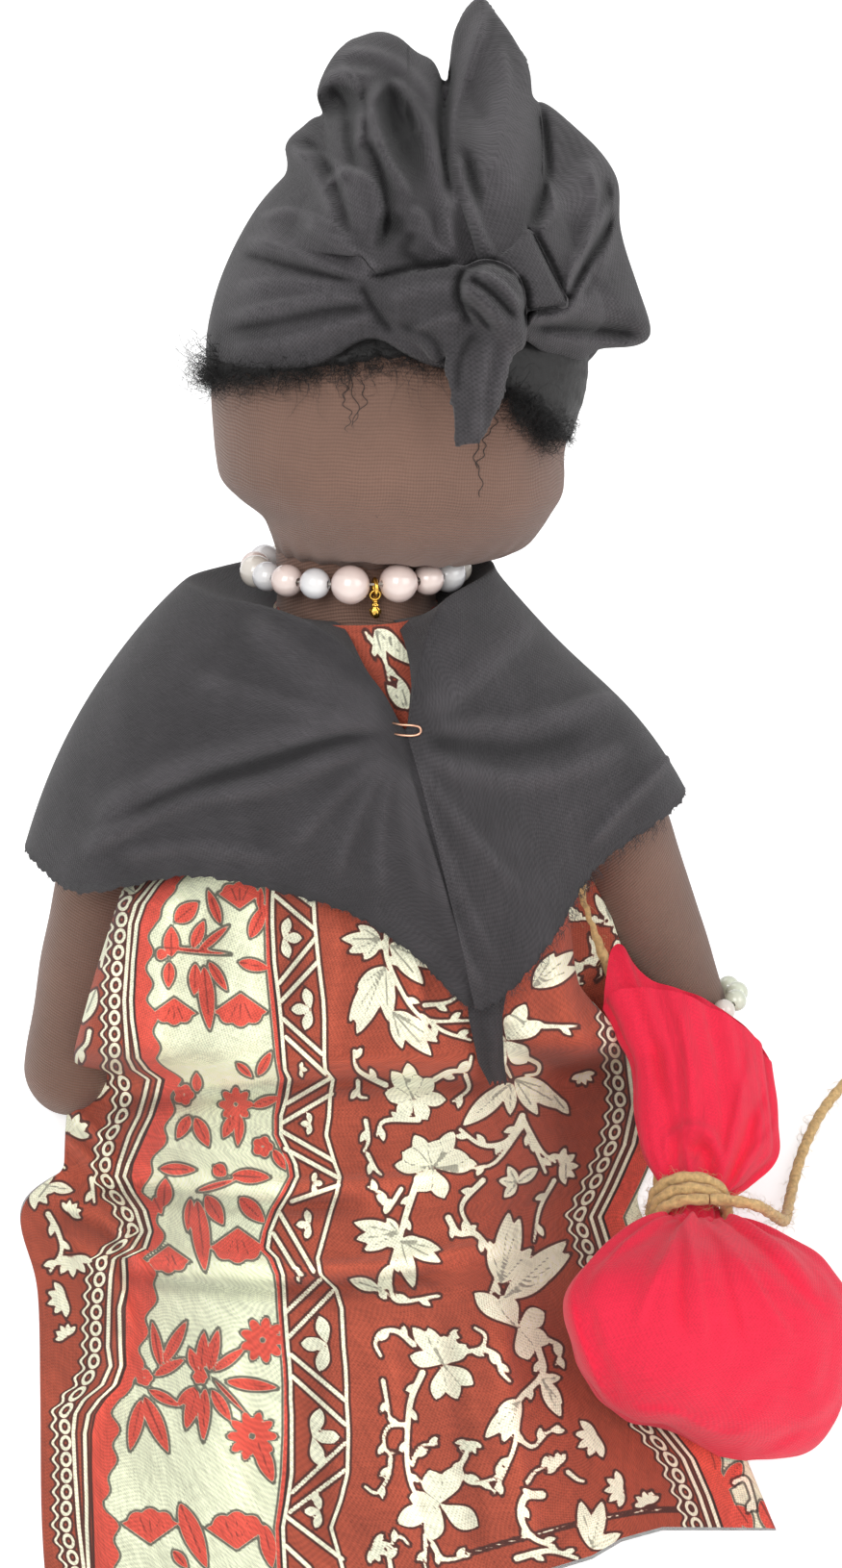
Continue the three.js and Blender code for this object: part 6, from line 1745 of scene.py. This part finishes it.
def wire_ring(name, centre, axis, zero, radius, wire, steps, around):
    """A closed ring of wire: a small circle carried round an axis, from the direction zero."""
    turn = np.linspace(0, 2 * math.pi, steps, endpoint=False)[:, None, None]
    round_wire = np.linspace(0, 2 * math.pi, around, endpoint=False)[None, :, None]
    outward = np.cos(turn) * zero + np.sin(turn) * np.cross(axis, zero)
    out, beside = radius + wire / 2 * np.cos(round_wire), wire / 2 * np.sin(round_wire)
    return surface(name, centre + outward * out + axis * beside, round_across=True, round_down=True)


thread = mottled_material("pale thread", 0.7, (214, 208, 200), 900.0, 0.2)
necklace_radius = (18.5 + 0.35 + 4.25) * mm
string_radius = necklace_radius - (8.5 * mm) ** 2 / (16 * necklace_radius)
string = wire_ring("necklace_string_thread", necklace_centre, spine, front, string_radius, string_diameter,
                   160, 10)
string.data.materials.append(thread)
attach(string, "necklace")
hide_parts("necklace_string")

# The head's soft underside gives way to the pearls, as far round as the head and the necklace turn against
# each other. Pressing it three times makes room for every one.
groove_radius, groove_window, underside_reach = 4.9 * mm, math.radians(27), 42 * mm
pearl_ring = np.array(pearl_centres["right"] + pearl_centres["left"][::-1])
groove = through(pearl_ring, np.linspace(0, len(pearl_ring), 120, endpoint=False), closed=True)
head_points, _ = mesh_points(head)
for _ in range(3):
    head_out, head_up = np.hypot(head_points[:, 0], head_points @ front), head_points @ spine
    outwards = unit(head_points - head_up[:, None] * spine)
    push, push_way = np.zeros(len(head_points)), np.zeros((len(head_points), 2))
    for place in groove:
        place_out, place_up = math.hypot(place[0], place @ front), place @ spine
        apart = np.arctan2(head_points[:, 0], head_points @ front) - math.atan2(place[0], place @ front)
        beside = np.abs((apart + math.pi) % (2 * math.pi) - math.pi) < groove_window
        from_place = np.stack([head_out - place_out, head_up - place_up], -1)
        away = np.hypot(head_out - place_out, head_up - place_up) + 1e-9
        needed = np.where(beside & (head_out < underside_reach), groove_radius - away, 0)
        deeper = needed > push
        push = np.where(deeper, needed, push)
        push_way[deeper] = from_place[deeper] / away[deeper, None]
    head_points += outwards * (push * push_way[:, 0])[:, None] + spine * (push * push_way[:, 1])[:, None]
head.data.vertices.foreach_set("co", head_points.astype(np.float32).ravel())
head.data.update()

# The pendant is a small gold-coloured ring on the string, and a cast drop with a leafy outline that hangs
# from it.
gold = mottled_material("gold-coloured metal", 0.24, (222, 178, 84), 700.0, 0.15, metallic=1.0)
pendant_angle, pendant_wire, pendant_ring_radius = 0.21, 0.9 * mm, 1.85 * mm
eye_radius, eye_wire, drop_length, drop_diameter = 1.1 * mm, 0.6 * mm, 5 * mm, 2.4 * mm
hang_outward = front * math.cos(pendant_angle) + across * math.sin(pendant_angle)
hang_tangent = np.cross(spine, hang_outward)
ring_centre = (necklace_centre + hang_outward * necklace_radius
               + down * (pendant_ring_radius - pendant_wire / 2 - string_diameter / 2 - clearance))
pendant_ring = wire_ring("pendant_ring_gold", ring_centre, hang_tangent, unit(np.cross(down, hang_tangent)),
                         pendant_ring_radius, pendant_wire, 60, 16)
eye_centre = ring_centre + down * pendant_ring_radius
eye_axis = unit(np.cross(hang_tangent, down))
pendant_eye = wire_ring("pendant_eye_gold", eye_centre, eye_axis, down, eye_radius, eye_wire, 48, 12)
# from the eye to the tip: shares of the drop's radius and length
drop_shares = np.array([
    [0.02, 0], [0.42, 0.04], [0.5, 0.1], [0.34, 0.15], [0.62, 0.22], [0.66, 0.28], [0.42, 0.34],
    [0.7, 0.42], [1, 0.55], [0.98, 0.68], [0.8, 0.8], [0.5, 0.9], [0.3, 0.95], [0.02, 1],
])
drop_rows = through(drop_shares, np.linspace(0, len(drop_shares) - 1, 70))
drop_turn = np.linspace(0, 2 * math.pi, 48, endpoint=False)
drop_other = np.cross(down, hang_tangent)
drop_radius = drop_rows[:, :1] * drop_diameter / 2 * (1 + 0.1 * np.cos(6 * drop_turn + 9 * drop_rows[:, 1:]))
drop_grid = (eye_centre + down * eye_radius + (down * drop_length * drop_rows[:, 1:])[:, None]
             + (drop_radius * np.cos(drop_turn))[..., None] * hang_tangent
             + (drop_radius * np.sin(drop_turn))[..., None] * drop_other)
pendant_drop = surface("pendant_drop_gold", drop_grid, round_across=True, capped=True)
for made, node in ((pendant_ring, "pendant_ring"), (pendant_drop, "pendant_drop"),
                   (pendant_eye, "pendant_drop")):
    made.data.materials.append(gold)
    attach(made, "pendant")
    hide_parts(node)

# The bracelet is fourteen beads like the necklace's, a little smaller, on a thin elastic round the left
# wrist.
bead_size, bead_bore, elastic_diameter = 5.5 * mm, 1.4 * mm, 0.7 * mm
bead_centres = np.array([node_centre(f"bracelet_bead_{number:02d}") for number in range(1, 15)])
bracelet_centre = bead_centres.mean(0)
bracelet_axis = unit(np.cross(bead_centres[0] - bracelet_centre, bead_centres[4] - bracelet_centre))
bead_finishes = [pearl_finish("greenish pearl", (222, 226, 206), (186, 192, 168)), pearl_cream]
for number, centre in enumerate(bead_centres, 1):
    node = f"bracelet_bead_{number:02d}"
    tangent = unit(np.cross(bracelet_axis, centre - bracelet_centre))
    bead = bored_ball(f"{node}_nacre", centre, tangent, bead_size, bead_bore, 24, 32)
    bead.data.materials.append(bead_finishes[number % 3 == 0])
    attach(bead, "bracelet")
    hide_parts(node)
elastic_radius = float(np.linalg.norm(bead_centres - bracelet_centre, axis=1).mean())
elastic = wire_ring("bracelet_elastic_cord", bracelet_centre, bracelet_axis,
                    unit(bead_centres[0] - bracelet_centre), elastic_radius, elastic_diameter, 120, 10)
elastic.data.materials.append(thread)
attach(elastic, "bracelet")
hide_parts("bracelet_elastic")

# The pouch is one round of red cotton, filled, gathered at its neck and tied, with its rim standing up above
# the tie. Pleats run from the tie down into the bag and up into the rim. The rim's edge is raw.
pouch_table = [
    # left edge and right edge in pixels, then in millimetres: distance ahead of the camera, swell to the
    # camera, swell down, rise of both walls
    [748, 1514, 775, 1520, 411, 1, 1, 0, 0], [700, 1486, 832, 1510, 411, 7, 5, 0, 0],
    [642, 1467, 868, 1478, 411, 14, 9, 0, 0], [607, 1431, 880, 1432, 411, 19, 14, 0, 0],
    [590, 1388, 886, 1385, 412, 21, 19, 0, 0], [585, 1348, 880, 1343, 413.5, 20, 19, 0, 0],
    [607, 1313, 848, 1304, 417, 17, 17, 0, 0], [648, 1281, 806, 1281, 423, 12.5, 12, 0, 0],
    [688, 1264, 766, 1269, 429, 8, 8, 0, 0],
]
pouch_rim_table = [
    [690, 1234, 762, 1240, 441, 7, 6, 0, 0], [668, 1198, 786, 1224, 446, 9, 7, 0, 0],
    [659, 1155, 808, 1197, 450, 9.5, 7, 1, 2], [655, 1108, 805, 1150, 454, 9, 7, 5, 8],
    [627, 1050, 800, 1108, 458, 6, 6, 10, 13],
]


def pouch_section(left_x, left_y, right_x, right_y, distance, near, low, rise_near, rise_far):
    """One section across the pouch: its two edges on their lines of sight, its walls' swells and rises."""
    edges = camera_place + sight_lines([[left_x, left_y], [right_x, right_y]]) * (distance * mm)
    return [*edges[0], *edges[1], near * mm, low * mm, rise_near * mm, rise_far * mm]


tied_half = 6.2 * mm
tie_sections = [[*(place - across * tied_half), *(place + across * tied_half), tied_half, tied_half, 0, 0]
                for place in (tie_start, (tie_start + tie_end) / 2, tie_end)]
pouch_sections = np.array([pouch_section(*row) for row in pouch_table] + tie_sections
                          + [pouch_section(*row) for row in pouch_rim_table])
pouch_rows, pouch_around = 230, 300
pouch_place = np.linspace(0, len(pouch_sections) - 1, pouch_rows)
section = through(pouch_sections, pouch_place)[:, None]
pouch_turn = np.linspace(0, 2 * math.pi, pouch_around, endpoint=False)[None]
c, s = np.cos(pouch_turn), np.sin(pouch_turn)
pouch_left, pouch_right = section[..., 0:3], section[..., 3:6]
middle_line = (pouch_left + pouch_right) / 2
upper_wall = ease(pouch_place, 8.5, 12)[:, None, None]
bag_low, rim_low = np.array([0, 0.25, -0.97]), np.array([0, 0.55, -0.83])
rise_direction = unit(np.array([0, 0.75, 0.66]))
low_direction = unit(bag_low * (1 - upper_wall) + rim_low * upper_wall)
near_swell, low_swell, near_rise, far_rise = (section[..., k, None] for k in (6, 7, 8, 9))
up_s, low_s = np.clip(s, 0, None)[..., None], np.clip(-s, 0, None)[..., None]
pouch_grid = (middle_line + (pouch_right - pouch_left) / 2 * c[..., None]
              + toward_camera(middle_line) * near_swell * up_s + low_direction * low_swell * low_s
              + rise_direction * (near_rise * up_s + far_rise * low_s))
flap_place = (pouch_turn - 1.22 * math.pi) / 0.32
flap = (ease(pouch_place, 13.5, 16)[:, None] * np.exp(-(flap_place ** 2)))[..., None]
flap_direction = np.array([-0.2, 0.5, 0.2])
pouch_grid = pouch_grid + rise_direction * (8 * mm * flap) + flap_direction * (4 * mm * flap)
pleat_depth = np.interp(pouch_place, [0, 3, 5, 6, 7, 8, 9, 11, 12, 13, 14, 16],
                        [0, 0.15, 0.3, 0.6, 1.0, 1.0, 0.5, 0.5, 0.8, 0.6, 0.5, 0.6])[:, None] * mm
pleats = (np.cos(7 * pouch_turn + 0.6) + 0.8 * np.cos(12 * pouch_turn + 2.1 + 0.25 * pouch_place[:, None])
          + 0.6 * np.cos(19 * pouch_turn + 4.0)) / 1.6
pouch_out = grid_normals(pouch_grid, middle_line, round_across=True)
pouch_creases = [
    (7, -1.6, 0.8, [(706, 1268), (708, 1300), (706, 1345), (712, 1400)]),
    (8, 1.2, 0.6, [(716, 1268), (722, 1310), (728, 1360), (735, 1410)]),
    (8, -1.3, 0.8, [(730, 1268), (745, 1300), (758, 1350), (775, 1410)]),
    (9, 1.3, 0.6, [(738, 1270), (770, 1310), (800, 1360), (830, 1400)]),
    (8, -1.4, 0.8, [(745, 1270), (785, 1295), (825, 1335), (865, 1375)]),
    (8, -1.3, 0.8, [(700, 1268), (680, 1285), (650, 1300), (625, 1322)]),
    (8, 1.0, 0.6, [(703, 1272), (688, 1310), (672, 1350), (660, 1390)]),
    (7, 1.6, 0.5, [(592, 1345), (600, 1385), (616, 1425), (630, 1462)]),
    (8, -1.2, 0.8, [(612, 1350), (618, 1390), (634, 1430), (652, 1464)]),
    (9, -1.2, 0.8, [(770, 1520), (800, 1500), (850, 1480), (880, 1455)]),
    (9, 1.2, 0.6, [(640, 1468), (700, 1470), (745, 1492), (790, 1490)]),
    (9, 1.6, 0.5, [(692, 1192), (702, 1176), (722, 1170), (740, 1180), (748, 1204), (738, 1232)]),
    (8, -2.4, 0.9, [(712, 1200), (728, 1194), (736, 1212), (728, 1240)]),
    (8, -1.8, 0.8, [(688, 1236), (700, 1205), (694, 1160), (684, 1110), (680, 1075)]),
    (8, 1.4, 0.6, [(762, 1236), (776, 1205), (800, 1180), (812, 1165)]),
    (7, -2.0, 0.8, [(752, 1240), (768, 1200), (782, 1160), (798, 1130)]),
    (9, 1.5, 0.6, [(750, 1236), (758, 1190), (770, 1140), (780, 1090)]),
    (10, 1.0, 0.6, [(716, 1165), (716, 1120), (712, 1070), (704, 1040)]),
    (7, -1.2, 0.8, [(770, 1238), (795, 1215), (815, 1200)]),
]
pouch_facing = ease((pouch_out * toward_camera(pouch_grid)).sum(-1), 0.0, 0.4)
bag_share = ease(pouch_place, 9, 6)[:, None]
pouch_soft = (pleats * pleat_depth - 0.5 * mm * lumps(pouch_grid, 17 * mm, 71) * bag_share
              + 0.4 * mm * lumps(pouch_grid, 9 * mm, 72))
pouch_grid = pouch_grid + pouch_out * pouch_soft[..., None]
pouch_relief = creases(pouch_grid, pouch_creases) * pouch_facing
pouch_grid = pouch_grid + toward_camera(pouch_grid) * pouch_relief[..., None]
tie_middle, tied_rows = (tie_start + tie_end) / 2, ((pouch_place > 9.2) & (pouch_place < 11.0))[:, None, None]
axis_offset = (pouch_grid - tie_middle) * [1, 0, 1]
axis_distance = np.linalg.norm(axis_offset, axis=-1, keepdims=True)
squeezed = pouch_grid - axis_offset * (1 - np.minimum(1, neck_radius / axis_distance))
pouch_grid = np.where(tied_rows, squeezed, pouch_grid)
pouch_underside, filling_underside = 0.8 * mm, 2.4 * mm
pouch_grid[..., 2] = np.maximum(pouch_grid[..., 2], pouch_underside)

red_cotton, red_tree, red_shader = new_material("red cotton", 0.85, sheen=0.15)
woven(red_tree, red_shader, colour(236, 30, 66), 0.42 * mm, 0.16, 70.0, 0.12, 0.11 * mm, 0.7)
pouch = cloth_surface("pouch_cotton", pouch_grid, round_across=True, outward=tie_middle)
pouch.data.materials.append(red_cotton)
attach(pouch, "pouch")
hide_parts("pouch_cloth")

# The pouch's filling is dry beans or grain. Only the bag's weight and roundness show it.
beans, beans_tree, beans_shader = new_material("dry beans", 0.6)
beans_cells = put(beans_tree, "ShaderNodeTexVoronoi", {"Vector": object_place(beans_tree), "Scale": 220.0})
# each bean is lighter at its middle and darker towards its neighbours: painted shade between the beans
beans_tint = mix(beans_tree, beans_cells.outputs["Distance"], colour(212, 190, 146), colour(146, 112, 72))
beans_tree.links.new(beans_tint, beans_shader.inputs["Base Color"])
filling_place = np.linspace(1.4, 6.0, 60)
filling = through(pouch_sections, filling_place)[:, None]
filling_turn = np.linspace(0, 2 * math.pi, 80, endpoint=False)[None, :, None]
filling_left, filling_right = filling[..., 0:3], filling[..., 3:6]
filling_middle = (filling_left + filling_right) / 2
filling_grid = (filling_middle + 0.8 * (
    (filling_right - filling_left) / 2 * np.cos(filling_turn)
    + toward_camera(filling_middle) * filling[..., 6:7] * np.clip(np.sin(filling_turn), 0, None)
    + unit(bag_low) * filling[..., 7:8] * np.clip(-np.sin(filling_turn), 0, None)))
filling_grid[..., 2] = np.maximum(filling_grid[..., 2], filling_underside)
beans_body = surface("pouch_beans", filling_grid, round_across=True, capped=True)
beans_body.data.materials.append(beans)
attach(beans_body, "pouch")
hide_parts("pouch_filling")

# The floor is a plain pale sheet. It takes the doll's shadow, and the camera sees it a little lighter than
# its colour.
floor_size, floor_seen = 12.0, 0.5
floor_corners = [(x * floor_size, y * floor_size, 0) for x, y in ((-1, -1), (1, -1), (1, 1), (-1, 1))]
floor_mesh = bpy.data.meshes.new("floor")
floor_mesh.from_pydata(floor_corners, [], [(0, 1, 2, 3)])
floor = new_object("floor", floor_mesh)
floor_material, floor_tree, floor_shader = new_material("pale floor", 0.9)
floor_shader.inputs["Base Color"].default_value = (0.86, 0.86, 0.86, 1)
floor_shader.inputs["Emission Color"].default_value = (1, 1, 1, 1)


def showing_rays(tree):
    """One for the rays that bring the background to the camera: straight, mirrored or through glass."""
    rays = put(tree, "ShaderNodeLightPath").outputs
    either = calc(tree, "ADD", rays["Is Camera Ray"], rays["Is Glossy Ray"])
    return calc(tree, "MINIMUM", calc(tree, "ADD", either, rays["Is Transmission Ray"]), 1.0)


floor_light = calc(floor_tree, "MULTIPLY", showing_rays(floor_tree), floor_seen)
floor_tree.links.new(floor_light, floor_shader.inputs["Emission Strength"])
floor_mesh.materials.append(floor_material)

# Plain soft studio light: a pale world, one wide lamp above the camera and one at each side.
world = bpy.data.worlds.new("studio")
bpy.context.scene.world = world
world.use_nodes = True
world_tree = world.node_tree
background = world_tree.nodes["Background"]
background.inputs["Color"].default_value = (1, 1, 1, 1)
world_light = 0.56
world_strength = calc(world_tree, "MULTIPLY_ADD", showing_rays(world_tree), 1 - world_light, world_light)
world_tree.links.new(world_strength, background.inputs["Strength"])
lamp_aim = np.array([0, 0, 0.1])
for lamp_name, place, size, power in (("lamp_front", (-0.28, -0.74, 0.88), 0.6, 5.9),
                                      ("lamp_right", (0.85, -0.5, 0.75), 0.8, 4.2),
                                      ("lamp_back", (-0.5, 0.9, 0.9), 0.8, 2.6)):
    lamp_data = bpy.data.lights.new(lamp_name, "AREA")
    lamp_data.size = size
    lamp_data.energy = power
    lamp = new_object(lamp_name, lamp_data)
    lamp.location = place
    toward = lamp_aim - np.array(place)
    tilt = math.atan2(math.hypot(toward[0], toward[1]), -toward[2])
    lamp.rotation_euler = (tilt, 0, math.atan2(toward[1], toward[0]) - math.pi / 2)
bpy.context.scene.view_settings.view_transform = "Standard"
